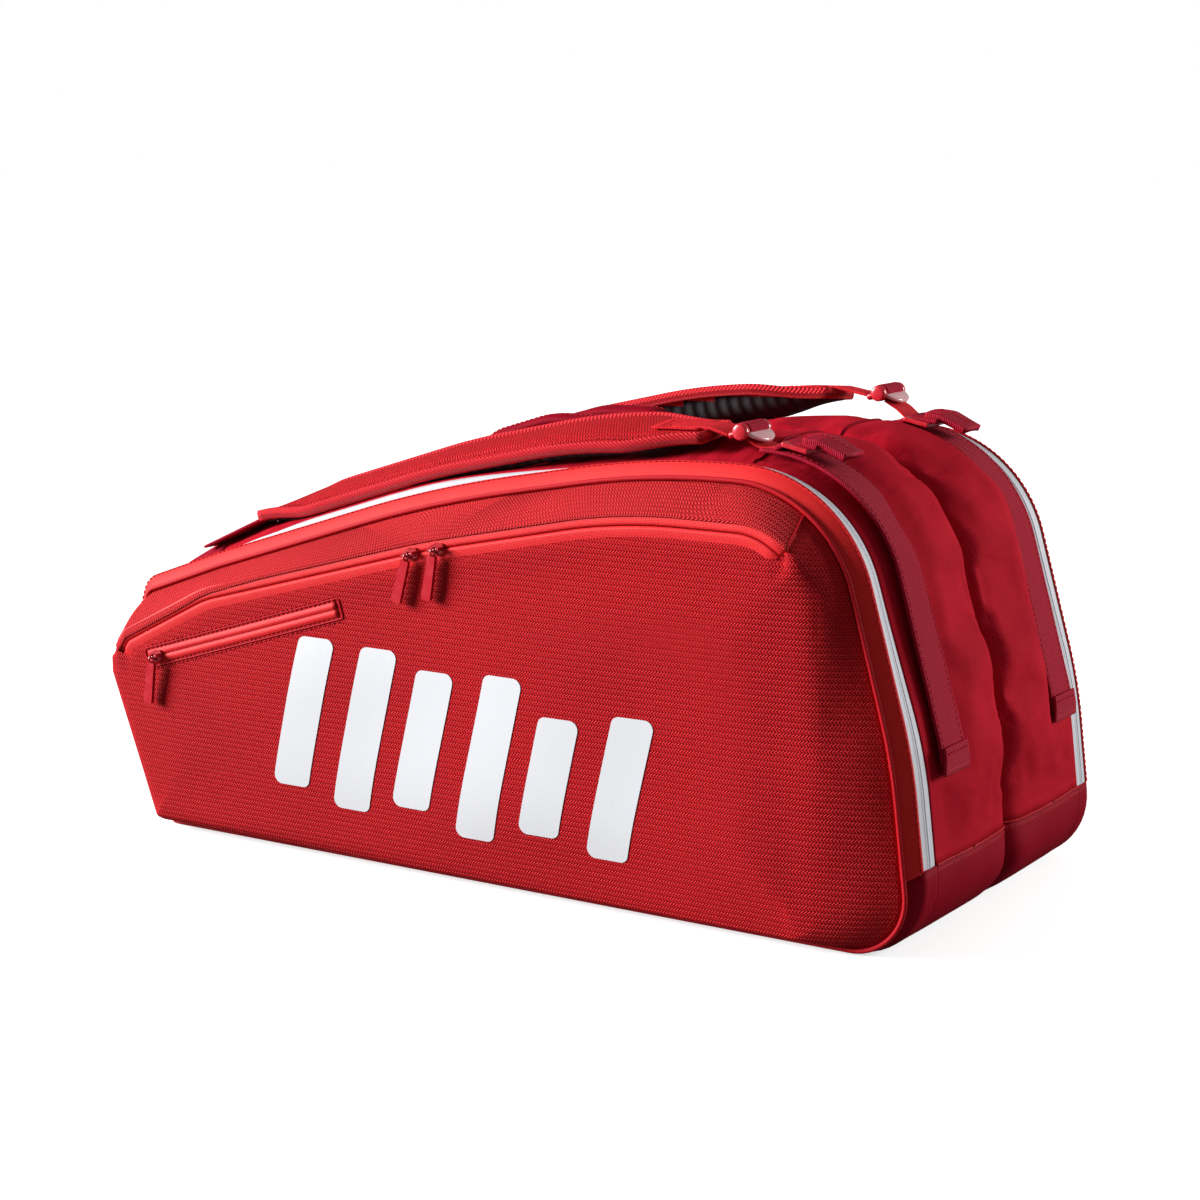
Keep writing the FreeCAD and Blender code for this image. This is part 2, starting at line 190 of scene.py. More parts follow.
def open_path(corners, step=STEP):
    """Points and upward directions along an open rounded path."""
    arcs = arcs_of(corners, closed=False)
    points, outward = [], []
    for i, arc in enumerate(arcs):
        if arc[3] > 0:
            p, n = arc_points(arc, max(4, int(np.linalg.norm(arc[1] - arc[0]) / step)))
            points.extend(p)
            outward.extend(n)
        if i + 1 < len(arcs):
            leave, following = arc[1], arcs[i + 1][0]
            along = unit(following - leave)
            count = max(1, int(np.linalg.norm(following - leave) / step))
            for k in range(0 if arc[3] == 0 else 1, count + (1 if arcs[i + 1][3] == 0 else 0)):
                points.append(leave + (following - leave) * k / count)
                outward.append((-along[1], along[0]))
    return np.array(points), np.array(outward)


SEAM = inset(BODY, 13, 5)
BODY_P, BODY_N = ring(BODY)
SEAM_P, _ = ring(SEAM)
FACE_P, FACE_N = ring(FACE)
T_LEFT = side_index(BODY_P, 0, BOOT_Z)
T_RIGHT = side_index(BODY_P, 7, BOOT_Z)
T_ZIP_LEFT = side_index(FACE_P, 1, 155.0)
T_ZIP_RIGHT = SIDE_FROM[6] - COUNTS[6][0] * 0.52
UPPER = span(T_LEFT, T_RIGHT)
LOWER = span(T_RIGHT, T_LEFT)
ZIP_SPAN = span(T_ZIP_LEFT, T_ZIP_RIGHT)
BEVEL_SPAN = span(T_ZIP_RIGHT, T_ZIP_LEFT)


# ------------------------------------------------------------------ meshes
def set_uv(mesh, uv):
    layer = mesh.uv_layers.new(name="UVMap")
    corner = np.zeros(len(mesh.loops), np.int32)
    mesh.loops.foreach_get("vertex_index", corner)
    layer.data.foreach_set("uv", (uv[corner] * MM).astype(np.float32).ravel())


def add_object(name, data):
    obj = bpy.data.objects.new(name, data)
    bpy.context.scene.collection.objects.link(obj)
    return obj


def add_mesh(name, verts, faces, uv=None):
    """A smooth mesh object from points in millimetres."""
    mesh = bpy.data.meshes.new(name)
    mesh.from_pydata((verts * MM).tolist(), [], faces)
    mesh.polygons.foreach_set("use_smooth", [True] * len(faces))
    if uv is not None:
        set_uv(mesh, np.array(uv, float))
    return add_object(name, mesh)


def make_piece(name, verts, faces, uv=None, thick=0.0, side=-1):
    """An open piece of cloth, given for the near side, its faces turned away from the bag's middle."""
    verts = np.array(verts, float)
    faces = [list(f) for f in faces]
    if side > 0:
        verts[:, 1] *= -1
    mid = np.array((0.0, 0.0, 160.0))
    total = 0.0
    for f in faces[:: max(1, len(faces) // 400)]:
        a, b, c = verts[f[0]], verts[f[1]], verts[f[2]]
        total += np.cross(b - a, c - a) @ (a - mid)
    if total < 0:
        faces = [f[::-1] for f in faces]
    obj = add_mesh(name, verts, faces, uv)
    if thick:
        thicken(obj, thick)
    return obj


def thicken(obj, thick):
    shell = obj.modifiers.new("thickness", "SOLIDIFY")
    shell.thickness, shell.offset = thick * MM, -1.0


def grid(rows, closed=False):
    """Points, faces and lengthwise coordinates of a grid given as rows of points."""
    rows = np.array(rows, float)
    r, c, _ = rows.shape
    middle = rows[r // 2]
    u = np.concatenate([[0], np.cumsum(np.linalg.norm(np.diff(middle, axis=0), axis=1))])
    v = np.zeros((r, c))
    v[1:] = np.cumsum(np.linalg.norm(np.diff(rows, axis=0), axis=2), axis=0)
    uv = np.stack([np.broadcast_to(u, (r, c)), v], 2).reshape(-1, 2)
    faces = []
    last = c if closed else c - 1
    for i in range(r - 1):
        for j in range(last):
            k = (j + 1) % c
            faces.append((i * c + j, i * c + k, (i + 1) * c + k, (i + 1) * c + j))
    return rows.reshape(-1, 3), faces, uv


def sheet_piece(name, rows, thick, side=-1):
    verts, faces, uv = grid(rows)
    return make_piece(name, verts, faces, uv, thick, side)


def row(points, y):
    """Points (x, z) at one y, or a y each, as (x, y, z)."""
    y = np.broadcast_to(np.asarray(y, float), (len(points),))
    return np.stack([points[:, 0], y, points[:, 1]], 1)


def tube(name, path, radius, side=-1, sides=8, flat=1.0, up=None):
    """A round or flattened cord along a path of points, closed at both ends."""
    path = np.array(path, float)
    ahead = np.gradient(path, axis=0)
    ahead /= np.linalg.norm(ahead, axis=1)[:, None]
    ref = np.array(up if up is not None else (0, 1, 0), float)
    if ref.ndim == 1:
        ref = np.broadcast_to(ref, path.shape)
    across = np.cross(ahead, ref)
    across /= np.linalg.norm(across, axis=1)[:, None] + 1e-9
    over = np.cross(across, ahead)
    angles = np.linspace(0, 2 * math.pi, sides, endpoint=False)
    radius = np.broadcast_to(np.asarray(radius, float), (len(path),))
    rings = [p + r * (np.cos(angles)[:, None] * a + flat * np.sin(angles)[:, None] * o)
             for p, r, a, o in zip(path, radius, across, over)]
    return loft(name, rings, side)


def loft(name, rings, side=-1, turned=False):
    """A closed piece through rings of points; turned lays its weave the other way round."""
    verts, faces, uv = grid(rings, closed=True)
    count = len(rings[0])
    faces += [tuple(range(count))[::-1], tuple(range(len(verts) - count, len(verts)))]
    return make_raw(name, verts, faces, uv[:, ::-1] if turned else uv, side)


def make_raw(name, verts, faces, uv=None, side=-1):
    """A closed mesh whose own winding is put right by its volume."""
    verts = np.array(verts, float)
    if side > 0:
        verts = verts * (1, -1, 1)
    volume = 0.0
    for f in faces:
        for k in range(1, len(f) - 1):
            volume += np.dot(verts[f[0]], np.cross(verts[f[k]], verts[f[k + 1]]))
    faces = [list(f) if volume > 0 else list(f)[::-1] for f in faces]
    return add_mesh(name, verts, faces, uv)


def resample(path, step):
    path = np.array(path, float)
    along = np.concatenate([[0], np.cumsum(np.linalg.norm(np.diff(path, axis=0), axis=1))])
    count = max(2, int(round(along[-1] / step)) + 1)
    wanted = np.linspace(0, along[-1], count)
    return np.stack([np.interp(wanted, along, path[:, k]) for k in range(path.shape[1])], 1)


def stitches(name, path, up, body, side=-1, length=3.4, gap=1.5):
    """A row of thread stitches along a path, each a small rounded bar; up is one direction, or one
    for each point of the path."""
    radius = 0.42
    lines = resample(np.concatenate([path, np.broadcast_to(up, np.shape(path))], 1), (length + gap) / 2)
    points, ups = lines[:, :3], lines[:, 3:]
    verts, faces = [], []
    for i in range(1, len(points) - 1, 2):
        ahead = unit(points[i + 1] - points[i - 1])
        over = unit(ups[i])
        across = np.cross(ahead, over)
        base = len(verts)
        for along, size in ((-0.5, 0.3), (-0.3, 1.0), (0.3, 1.0), (0.5, 0.3)):
            for a in range(6):
                angle = a * math.pi / 3
                verts.append(points[i] + ahead * length * along
                             + size * radius * (math.cos(angle) * across + math.sin(angle) * over))
        for k in range(3):
            for a in range(6):
                b = (a + 1) % 6
                faces.append((base + k * 6 + a, base + k * 6 + b,
                              base + k * 6 + 6 + b, base + k * 6 + 6 + a))
        faces.append(tuple(base + a for a in range(6))[::-1])
        faces.append(tuple(base + 18 + a for a in range(6)))
    dress(make_raw(name, verts, faces, None, side), THREAD, body)


def fill(loops, height, spacing):
    """Triangles inside nested loops of (x, z), with a regular grid inside the last one."""
    points, edges = [], []
    for loop in loops:
        start = len(points)
        points.extend(loop)
        count = len(loop)
        edges.extend((start + i, start + (i + 1) % count) for i in range(count))
    inner = np.array(loops[-1])
    low, high = inner.min(0), inner.max(0)
    xs = np.arange(low[0], high[0], spacing)
    zs = np.arange(low[1], high[1], spacing)
    gx, gz = [g.ravel() for g in np.meshgrid(xs, zs)]
    inside = np.zeros(len(gx), bool)
    for (ax, az), (bx, bz) in zip(inner, np.roll(inner, -1, 0)):
        crosses = ((az > gz) != (bz > gz)) & (gx < (bx - ax) * (gz - az) / (bz - az + 1e-12) + ax)
        inside ^= crosses
    seeds = np.stack([gx, gz], 1)[inside]
    near = np.array([np.min(np.linalg.norm(inner - s, axis=1)) for s in seeds])
    seeds = seeds[near > spacing * 0.55]
    flat = [Vector(p) for p in points] + [Vector(s) for s in seeds]
    verts, _, faces = delaunay_2d_cdt(flat, edges, [], 1, 1e-4)[:3]
    xz = np.array([tuple(v) for v in verts])
    return row(xz, height(xz)), faces, xz


def joined(verts, faces, uv, near):
    """The same mesh with points that lie within about near of each other made one."""
    seen, index, keep = {}, [], []
    for i, v in enumerate(verts):
        key = np.round(v / near).astype(int)
        beside = (seen.get(tuple(key + step)) for step in product((-1, 0, 1), repeat=3))
        hit = next((found for found in beside if found is not None), len(keep))
        if hit == len(keep):
            keep.append(i)
            seen[tuple(key)] = hit
        index.append(hit)
    faces = [[index[i] for i in f] for f in faces]
    faces = [f for f in faces if len(set(f)) == len(f)]
    return np.asarray(verts)[keep], faces, np.asarray(uv)[keep]


def dress(obj, material, body, replaces=()):
    """Give a piece its material, its body if it has one, and the nodes it replaces."""
    obj.data.materials.append(material)
    if body:
        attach(obj, body)
    if replaces:
        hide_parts(*replaces)
    return obj


# ------------------------------------------------------------------ materials
class Look:
    """A node material, built step by step."""

    def __init__(self, name, coords="uv"):
        self.material = bpy.data.materials.new(name)
        self.material.use_nodes = True
        self.tree = self.material.node_tree
        self.shader = self.tree.nodes["Principled BSDF"]
        source = self.tree.nodes.new("ShaderNodeTexCoord")
        self.coords = source.outputs["UV" if coords == "uv" else "Object"]

    def node(self, kind, inputs=None, **settings):
        made = self.tree.nodes.new(kind)
        for key, value in settings.items():
            setattr(made, key, value)
        for key, value in (inputs or {}).items():
            if isinstance(value, bpy.types.NodeSocket):
                self.tree.links.new(value, made.inputs[key])
            else:
                made.inputs[key].default_value = value
        return made

    def math(self, operation, a, b=0.0, c=0.0):
        return self.node("ShaderNodeMath", {0: a, 1: b, 2: c}, operation=operation).outputs[0]

    def axes(self, first="X", second="Y"):
        parts = self.node("ShaderNodeSeparateXYZ", {0: self.coords})
        return parts.outputs[first], parts.outputs[second]

    def noise(self, scale, detail=2.0, rough=0.5, stretch=(1, 1, 1)):
        where = self.node("ShaderNodeMapping", {"Vector": self.coords, "Scale": stretch}).outputs[0]
        return self.node("ShaderNodeTexNoise", {"Vector": where, "Scale": scale, "Detail": detail,
                                                "Roughness": rough}).outputs["Fac"]

    def sine(self, value, pitch):
        """A wave from 0 to 1 along a value in metres."""
        turn = self.math("MULTIPLY", value, 2 * math.pi / pitch)
        return self.math("MULTIPLY_ADD", self.math("SINE", turn), 0.5, 0.5)

    def blend(self, low, high, fac):
        mixed = self.node("ShaderNodeMix", {"Factor": fac}, data_type="RGBA")
        mixed.inputs[6].default_value = (*low, 1)
        mixed.inputs[7].default_value = (*high, 1)
        return mixed.outputs[2]

    def shade(self, colour, fac, strength):
        """Darken a colour where fac is low."""
        amount = self.math("MULTIPLY_ADD", fac, strength, 1 - strength)
        grey = self.node("ShaderNodeCombineColor", {0: amount, 1: amount, 2: amount}).outputs[0]
        mixed = self.node("ShaderNodeMix", {"Factor": 1.0}, data_type="RGBA",
                          blend_type="MULTIPLY")
        self.tree.links.new(colour, mixed.inputs[6])
        self.tree.links.new(grey, mixed.inputs[7])
        return mixed.outputs[2]

    def done(self, colour, rough, height=None, depth=0.0003, sheen=0.0, tint=(1, 1, 1),
             specular=0.5, coat=0.0):
        put = self.shader.inputs
        if isinstance(colour, bpy.types.NodeSocket):
            self.tree.links.new(colour, put["Base Color"])
        else:
            put["Base Color"].default_value = (*colour, 1)
        if isinstance(rough, bpy.types.NodeSocket):
            self.tree.links.new(rough, put["Roughness"])
        else:
            put["Roughness"].default_value = rough
        put["Specular IOR Level"].default_value = specular
        put["Sheen Weight"].default_value = sheen
        put["Sheen Tint"].default_value = (*tint, 1)
        put["Sheen Roughness"].default_value = 0.4
        put["Coat Weight"].default_value = coat
        put["Coat Roughness"].default_value = 0.12
        if height is not None:
            bump = self.node("ShaderNodeBump", {"Height": height, "Distance": depth,
                                                "Strength": 1.0})
            self.tree.links.new(bump.outputs[0], put["Normal"])
        return self.material


def woven(name, low, high, coords="uv", pitch=0.0025, axes=("X", "Y")):
    """Herringbone of thick yarn: slanted dashes that change direction from row to row, their colour
    lighter on the yarn's tops as a painted highlight and darker between the yarns as painted shade.
    """
    k = Look(name, coords)
    x, y = k.axes(*axes)
    u = k.math("MULTIPLY", x, 1 / pitch)
    v = k.math("MULTIPLY", y, 1 / (pitch * 0.85))
    slant = k.math("ADD", u, k.math("PINGPONG", v, 1.0))
    dash = k.math("MULTIPLY_ADD", k.math("SINE", k.math("MULTIPLY", slant, 2 * math.pi)), 0.5, 0.5)
    edge = k.math("ABSOLUTE", k.math("SINE", k.math("MULTIPLY", v, math.pi)))
    yarn = k.math("MULTIPLY", dash, k.math("POWER", edge, 0.35))
    uneven = k.noise(260, 3, 0.6)
    broad = k.noise(9, 2)
    # painted highlight and shade: the colour follows the yarn's height; uneven and broad are the cloth's
    # own random tone
    fac = k.math("MULTIPLY_ADD", uneven, 0.4, k.math("SUBTRACT", yarn, 0.2))
    colour = k.shade(k.blend(low, high, fac), broad, 0.2)
    rough = k.math("MULTIPLY_ADD", yarn, -0.16, 0.74)
    return k.done(colour, rough, yarn, 0.0007, specular=0.08)


def plain_cloth(name, low, high, coords="uv", pitch=0.0011, sheen=0.02, rough=0.6, mottle=14.0,
                specular=0.35, depth=0.00012, creases=0.0):
    """Fine plain weave with a soft uneven tone, and, where creases is above 0, soft creases whose colour
    carries painted shade in their hollows and a painted highlight on their ridges.
    """
    k = Look(name, coords)
    x, y = k.axes(*(("X", "Y") if coords == "uv" else ("X", "Z")))
    cross = k.math("MULTIPLY", k.sine(x, pitch), k.sine(y, pitch))
    tone = k.noise(mottle, 4, 0.6)
    fibre = k.noise(900, 2)
    fac = k.math("ADD", k.math("MULTIPLY", tone, 0.7), k.math("MULTIPLY", fibre, 0.3))
    height = k.math("ADD", cross, k.math("MULTIPLY", fibre, 0.6))
    if creases:
        folds = k.noise(9.0, 3, 0.55, stretch=(2.2, 1.0, 1.0))
        height = k.math("MULTIPLY_ADD", folds, creases / depth, height)
        # painted shade and highlight: the colour follows the creases' height, darker in their hollows and
        # lighter on their ridges
        fac = k.math("MULTIPLY_ADD", k.math("SUBTRACT", folds, 0.5), 0.8, fac)
    return k.done(k.blend(low, high, fac), k.math("MULTIPLY_ADD", fibre, 0.16, rough - 0.08),
                  height, depth, sheen=sheen * 0.4, tint=(1, 0.2, 0.22), specular=specular * 0.35)


def ribbed(name, low, high, coords="uv", pitch=0.0016, slant=0.0, depth=0.0004, rough=0.6):
    """Ribs across or at a slant, as on webbing and twill tape, with velvety specks; the ribs' colour is
    lighter on their crests and darker in their grooves, painted highlight and painted shade.
    """
    k = Look(name, coords)
    x, y = k.axes(*(("X", "Y") if coords == "uv" else ("X", "Z")))
    ribs = k.sine(k.math("MULTIPLY_ADD", y, slant, x), pitch)
    specks = k.noise(700, 4, 0.7)
    # painted shade and highlight: the colour follows the ribs' height; the specks are the cloth's own
    # random tone
    fac = k.math("MULTIPLY_ADD", specks, 0.8, k.math("MULTIPLY_ADD", ribs, 0.4, -0.1))
    height = k.math("ADD", ribs, k.math("MULTIPLY", specks, 0.5))
    return k.done(k.blend(low, high, fac), rough, height, depth, sheen=0.03,
                  tint=(1, 0.2, 0.3), specular=0.08)


def moulded(name, base, worn, rough=0.28, coat=0.3):
    """Glossy moulded plastic or paint, a little paler and duller where it is handled."""
    k = Look(name, "object")
    grain = k.noise(900, 3)
    wear = k.noise(120, 4, 0.65)
    fac = k.node("ShaderNodeMapRange", {"Value": wear, "From Min": 0.5, "From Max": 0.8}).outputs[0]
    return k.done(k.blend(base, worn, fac), k.math("MULTIPLY_ADD", wear, 0.2, rough - 0.1), grain,
                  0.00004, coat=coat)


# the woven red in painted shade between its yarns and with a painted highlight on their tops
RED_PAINTED_SHADE, RED_PAINTED_HIGHLIGHT = (0.27, 0.001, 0.005), (0.92, 0.024, 0.032)
WOVEN = woven("woven", RED_PAINTED_SHADE, RED_PAINTED_HIGHLIGHT)
# the strip above the pocket zip is the face's woven cloth; this copy is lighter and paler, with painted
# light and painted sheen for how light falls on the strip
WOVEN_STRIP_PAINTED_LIGHT = woven("woven_strip_painted_light", (0.38, 0.006, 0.012), (1.0, 0.05, 0.055))
WOVEN_PAD = woven("woven_pad", RED_PAINTED_SHADE, RED_PAINTED_HIGHLIGHT, coords="object", axes=("X", "Y"))
BRIGHT = plain_cloth("bright_cloth", (0.60, 0.008, 0.012), (0.80, 0.028, 0.028), rough=0.55,
                     specular=0.4)
SMOOTH = plain_cloth("smooth_cloth", (0.19, 0.001, 0.009), (0.30, 0.002, 0.014), sheen=0.0,
                     specular=0.12)
# the lobes' cloth: its creases carry painted shade in their hollows and a painted highlight on their
# ridges
BRUSHED = plain_cloth("brushed_cloth", (0.28, 0.002, 0.011), (0.51, 0.008, 0.022), sheen=0.02,
                      rough=0.8, mottle=22.0, specular=0.12, creases=0.006)
PIPING = plain_cloth("piping_cloth", (0.36, 0.003, 0.009), (0.50, 0.008, 0.016))
LINING = plain_cloth("lining_cloth", (0.02, 0.02, 0.022), (0.06, 0.06, 0.065), coords="object",
                     pitch=0.003, depth=0.0006)
WEBBING = ribbed("webbing", (0.22, 0.001, 0.012), (0.45, 0.005, 0.028))
BRIGHT_WEBBING = ribbed("bright_webbing", (0.50, 0.005, 0.012), (0.74, 0.02, 0.028), pitch=0.0012)
TWILL = ribbed("twill", (0.40, 0.004, 0.012), (0.74, 0.03, 0.04), pitch=0.0036, slant=1.0,
               depth=0.0006)
THREAD = ribbed("thread", (0.42, 0.005, 0.014), (0.68, 0.03, 0.04), coords="object", pitch=0.0011)
WHITE_ZIP = plain_cloth("white_zip", (0.50, 0.51, 0.55), (0.66, 0.67, 0.71), rough=0.42, sheen=0.0,
                        specular=0.5, mottle=40.0)
RED_ZIP = plain_cloth("red_zip", (0.60, 0.008, 0.014), (0.80, 0.028, 0.030), rough=0.5,
                      specular=0.5)
MESH = ribbed("spacer_mesh", (0.012, 0.012, 0.014), (0.06, 0.06, 0.065), coords="object",
              pitch=0.011, depth=0.003, rough=0.8)
PLASTIC = moulded("red_plastic", (0.50, 0.008, 0.02), (0.62, 0.03, 0.045))
PAINT = moulded("red_paint", (0.42, 0.006, 0.016), (0.56, 0.05, 0.06), rough=0.34)
PALE_PLASTIC = moulded("pale_plastic", (0.74, 0.40, 0.42), (0.84, 0.6, 0.6), rough=0.22, coat=0.5)
PRINT = moulded("white_print", (0.62, 0.63, 0.66), (0.60, 0.61, 0.64), rough=0.55, coat=0.0)
BOARD = moulded("base_board", (0.06, 0.06, 0.06), (0.1, 0.1, 0.1), rough=0.6, coat=0.0)


# ------------------------------------------------------------------ cloth simulation
def drape(obj, cap, pressure, frames, slack, pinned=None):
    """Let cloth settle for some frames, each point held to within cap millimetres (one figure, or
    one a point) of its start."""
    scene = bpy.context.scene
    before = np.array([v.co for v in obj.data.vertices])
    cloth = obj.modifiers.new("cloth", "CLOTH")
    cloth.settings.quality = 6
    cloth.settings.mass = 0.3
    cloth.settings.tension_stiffness = 12
    cloth.settings.compression_stiffness = 12
    cloth.settings.bending_stiffness = 1.2
    cloth.settings.shrink_min = -slack
    cloth.settings.use_pressure = True
    cloth.settings.uniform_pressure_force = pressure
    cloth.settings.effector_weights.gravity = 0.0
    cloth.collision_settings.use_collision = False
    if pinned is not None:
        group = obj.vertex_groups.new(name="pin")
        group.add([int(i) for i in np.flatnonzero(pinned)], 1.0, "REPLACE")
        cloth.settings.vertex_group_mass = "pin"
    cloth.point_cache.frame_start, cloth.point_cache.frame_end = 1, frames
    for number in range(1, frames + 1):
        scene.frame_set(number)
    shaped = obj.evaluated_get(bpy.context.evaluated_depsgraph_get())
    after = np.array([v.co for v in shaped.data.vertices])
    obj.modifiers.remove(cloth)
    if pinned is not None:
        obj.vertex_groups.clear()
    scene.frame_set(1)
    move = after - before
    size = np.linalg.norm(move, axis=1)
    held = before + move * np.minimum(1.0, cap * MM / np.maximum(size, 1e-9))[:, None]
    obj.data.vertices.foreach_set("co", held.astype(np.float32).ravel())
    obj.data.update()


# ------------------------------------------------------------------ core: two lobes, valley, boot
def wobble(points, scale, seed=0.0):
    """Smooth noise from about -1 to 1 at points in millimetres."""
    return np.array([noise.noise(Vector((p[0] * scale, p[1] * scale + seed, p[2] * scale)))
                     for p in np.asarray(points, float)]) * 1.6


def crown(points):
    """How far the lobes stand out: less where the straps press on them, none on the floor."""
    x, z = points[:, 0], points[:, 1]
    rise = 7.0 + 3.0 * smooth((x - 60) / 140) + 8.0 * smooth((-40 - x) / 90) * smooth((x + 376) / 70)
    return rise * (0.15 + 0.85 * smooth((z - 20) / 170)) * smooth(z / 26)


def shoulder(points):
    """How far the core rises across the zip tape: most on the long slope of the handle end."""
    x, z = points[:, 0], points[:, 1]
    slope = 6.0 * smooth((90 - x) / 170) * smooth((x + 300) / 120) - 3.0 * smooth((-235 - x) / 60)
    sunk = -4.6 * smooth((x - 30) / 110) * smooth((z - 110) / 170)
    return (0.8 + slope + sunk) * smooth(z / 90)


def lobe_offset(points, y):
    """Outward offset of the core's surface at |y|, as a double bulge with a deep valley."""
    s = (TAPE_IN - abs(y)) / TAPE_IN
    bulge = math.sin(math.pi / 2 * min(1.0, s / 0.44)) * (1 - 0.12 * smooth((s - 0.6) / 0.4))
    valley = math.exp(-((abs(y) / 8.5) ** 1.35))
    edge = shoulder(points)
    rise = edge * (1 - 0.45 * smooth(s / 0.6)) + (crown(points) - 0.55 * edge) * bulge
    under_strap = smooth((24 - abs(abs(y) - STRAP_Y)) / 8)
    rise = rise - 2.8 * under_strap * smooth((points[:, 0] - 205) / 20) * smooth((points[:, 1] - 125) / 20)
    return rise - (9.0 * valley + rise * valley) * smooth(points[:, 1] / 26)


def above_floor(points):
    """Points (x, z) held just clear of the floor."""
    return np.maximum(points, (-np.inf, FLOOR_GAP))


def core_rows(ts, ys, extra=0.0):
    """Rows of points on the core's surface, one for each y, with extra millimetres of lift."""
    points, out = at(BODY_P, ts), at(BODY_N, ts)
    rows = []
    for y in ys:
        offset = lobe_offset(points, y) + extra
        moved = points + out * offset[:, None]
        here = row(moved, y)
        # broad wrinkles that run into the valley, and slight ones everywhere
        near_valley = math.exp(-((abs(y) - 18) / 26.0) ** 2)
        stretched = here * (1.0, 0.35, 1.0)
        depth = (wobble(stretched, 0.028, 3.0) * (0.6 + 1.5 * near_valley)
                 + wobble(here, 0.011, 9.0) * 2.0)
        depth *= smooth((abs(y) - 3) / 14) * smooth((TAPE_IN - abs(y)) / 24)
        depth *= smooth(points[:, 1] / 40)
        rows.append(row(above_floor(moved + out * depth[:, None]), y))
    return rows


LOBE_YS = -np.array([131, 129.5, 127, 122, 116, 109, 102, 94, 86, 78, 70, 62, 54, 46, 38, 31, 25,
                     20, 16, 12.5, 9.5, 7, 5, 3, 1.2, 0.0])
TOP = UPPER[at(BODY_N, UPPER)[:, 1] > 0.5]
TREES = {}               # surfaces that other pieces are laid on: each side's lobe and the near face


def top_index(x):
    """Position along the outline where its top passes x."""
    return float(np.interp(x, at(BODY_P, TOP)[:, 0], TOP))


T_CROSS = top_index(218.0)


def handle_rests():
    """Spots (x, |y|, z) that the handle's sleeve fills when it lies on the lobe, on either side."""
    points, _ = open_path(HANDLE, 4.0)
    foot, along = points[0], unit(points[-1] - points[0])
    rise = np.array((-along[1], along[0]))
    spots = []
    for swing in np.radians(HANDLE_SWINGS):
        for p in points[8:-8]:
            run, high = (p - foot) @ along, (p - foot) @ rise
            for across in (-8, 0, 8):
                y = HANDLE_Y + high * math.sin(swing) + across * math.cos(swing)
                base = foot + along * run + rise * (high * math.cos(swing) - across * math.sin(swing))
                spots.append((base[0], y, base[1]))
    return np.array(spots)


def hollow(lobe):
    """Keep the top of a lobe below the places where its handle comes to rest."""
    co = np.array([v.co for v in lobe.data.vertices]) / MM
    spots = handle_rests()
    for v in co:
        if -140 < v[0] < 110 and v[2] > 250:
            gap = (spots[:, 0] - v[0]) ** 2 + (spots[:, 1] - abs(v[1])) ** 2
            v[2] = min(v[2], float(np.min(spots[:, 2] - 7.5 + gap / 26)))
    lobe.data.vertices.foreach_set("co", (co * MM).astype(np.float32).ravel())


def make_core(side, tag):
    lobe = sheet_piece(tag + "core_lobe", core_rows(UPPER, LOBE_YS), 0.0, side)
    free = np.zeros((len(LOBE_YS), len(UPPER)), bool)
    free[5:-5, 4:-4] = True
    across, along = np.meshgrid(np.abs(LOBE_YS), UPPER, indexing="ij")
    x, z = at(BODY_P, along.ravel())[:, 0], at(BODY_P, along.ravel())[:, 1]
    strapped = smooth((34 - np.abs(across.ravel() - STRAP_Y)) / 12)
    held = strapped * (smooth((x - 190) / 20) * smooth((z - 110) / 20) + (x < -240))
    held = np.maximum(held, smooth(2.6 - np.abs(along.ravel() - T_CROSS)))
    drape(lobe, 0.3 + 2.4 * (1 - np.minimum(held, 1)), -0.8, 14, 0.02, ~free.ravel())
    hollow(lobe)
    TREES[side] = BVHTree.FromPolygons([v.co for v in lobe.data.vertices],
                                       [p.vertices for p in lobe.data.polygons])
    thicken(lobe, 2.6)
    dress(lobe, BRUSHED, "core",
          [tag + "compartment_gusset"] + (["seam_binding"] if side < 0 else []))
    boot = sheet_piece(tag + "core_boot", core_rows(LOWER, LOBE_YS, 0.8), 2.8, side)
    dress(boot, SMOOTH, "core", ["boot_panel"] if side < 0 else [])
    for end, t in (("head", T_RIGHT), ("grip", T_LEFT)):
        line = np.array([r[0] for r in core_rows(np.array([t]), LOBE_YS, 0.9)])
        out = at(BODY_N, [t])[0]
        dress(tube(tag + "boot_hem_" + end, line, 0.8, side), PIPING, "core")
        stitches(tag + "boot_stitches_" + end, line + (out[0] * 0.4, 0, -4.0), (out[0], 0, out[1]),
                 "core", side)


def laid(side, ts, ys, lift):
    """Rows of points lying lift millimetres above the lobe's finished surface."""
    out = at(BODY_N, ts)
    rows = []
    for line in core_rows(ts, ys):
        moved = []
        for p, n in zip(line, out):
            n = np.array((n[0], 0.0, n[1]))
            start = (p + n * 25) * (1, -side, 1) * MM
            hit = TREES[side].ray_cast(Vector(start), Vector(-n))[0]
            if hit is not None:
                p = np.array(hit) / MM * (1, -side, 1)
            moved.append(p + n * lift)
        rows.append(np.array(moved))
    return rows


def make_cross_seam(side, tag):
    """The seam across the top of each lobe, near the head end."""
    line = [r[0] for r in core_rows(np.array([T_CROSS]), LOBE_YS[2:], 0.5)]
    seam = tube(tag + "lobe_cross_seam", line, 0.9, side)
    dress(seam, SMOOTH, "core")


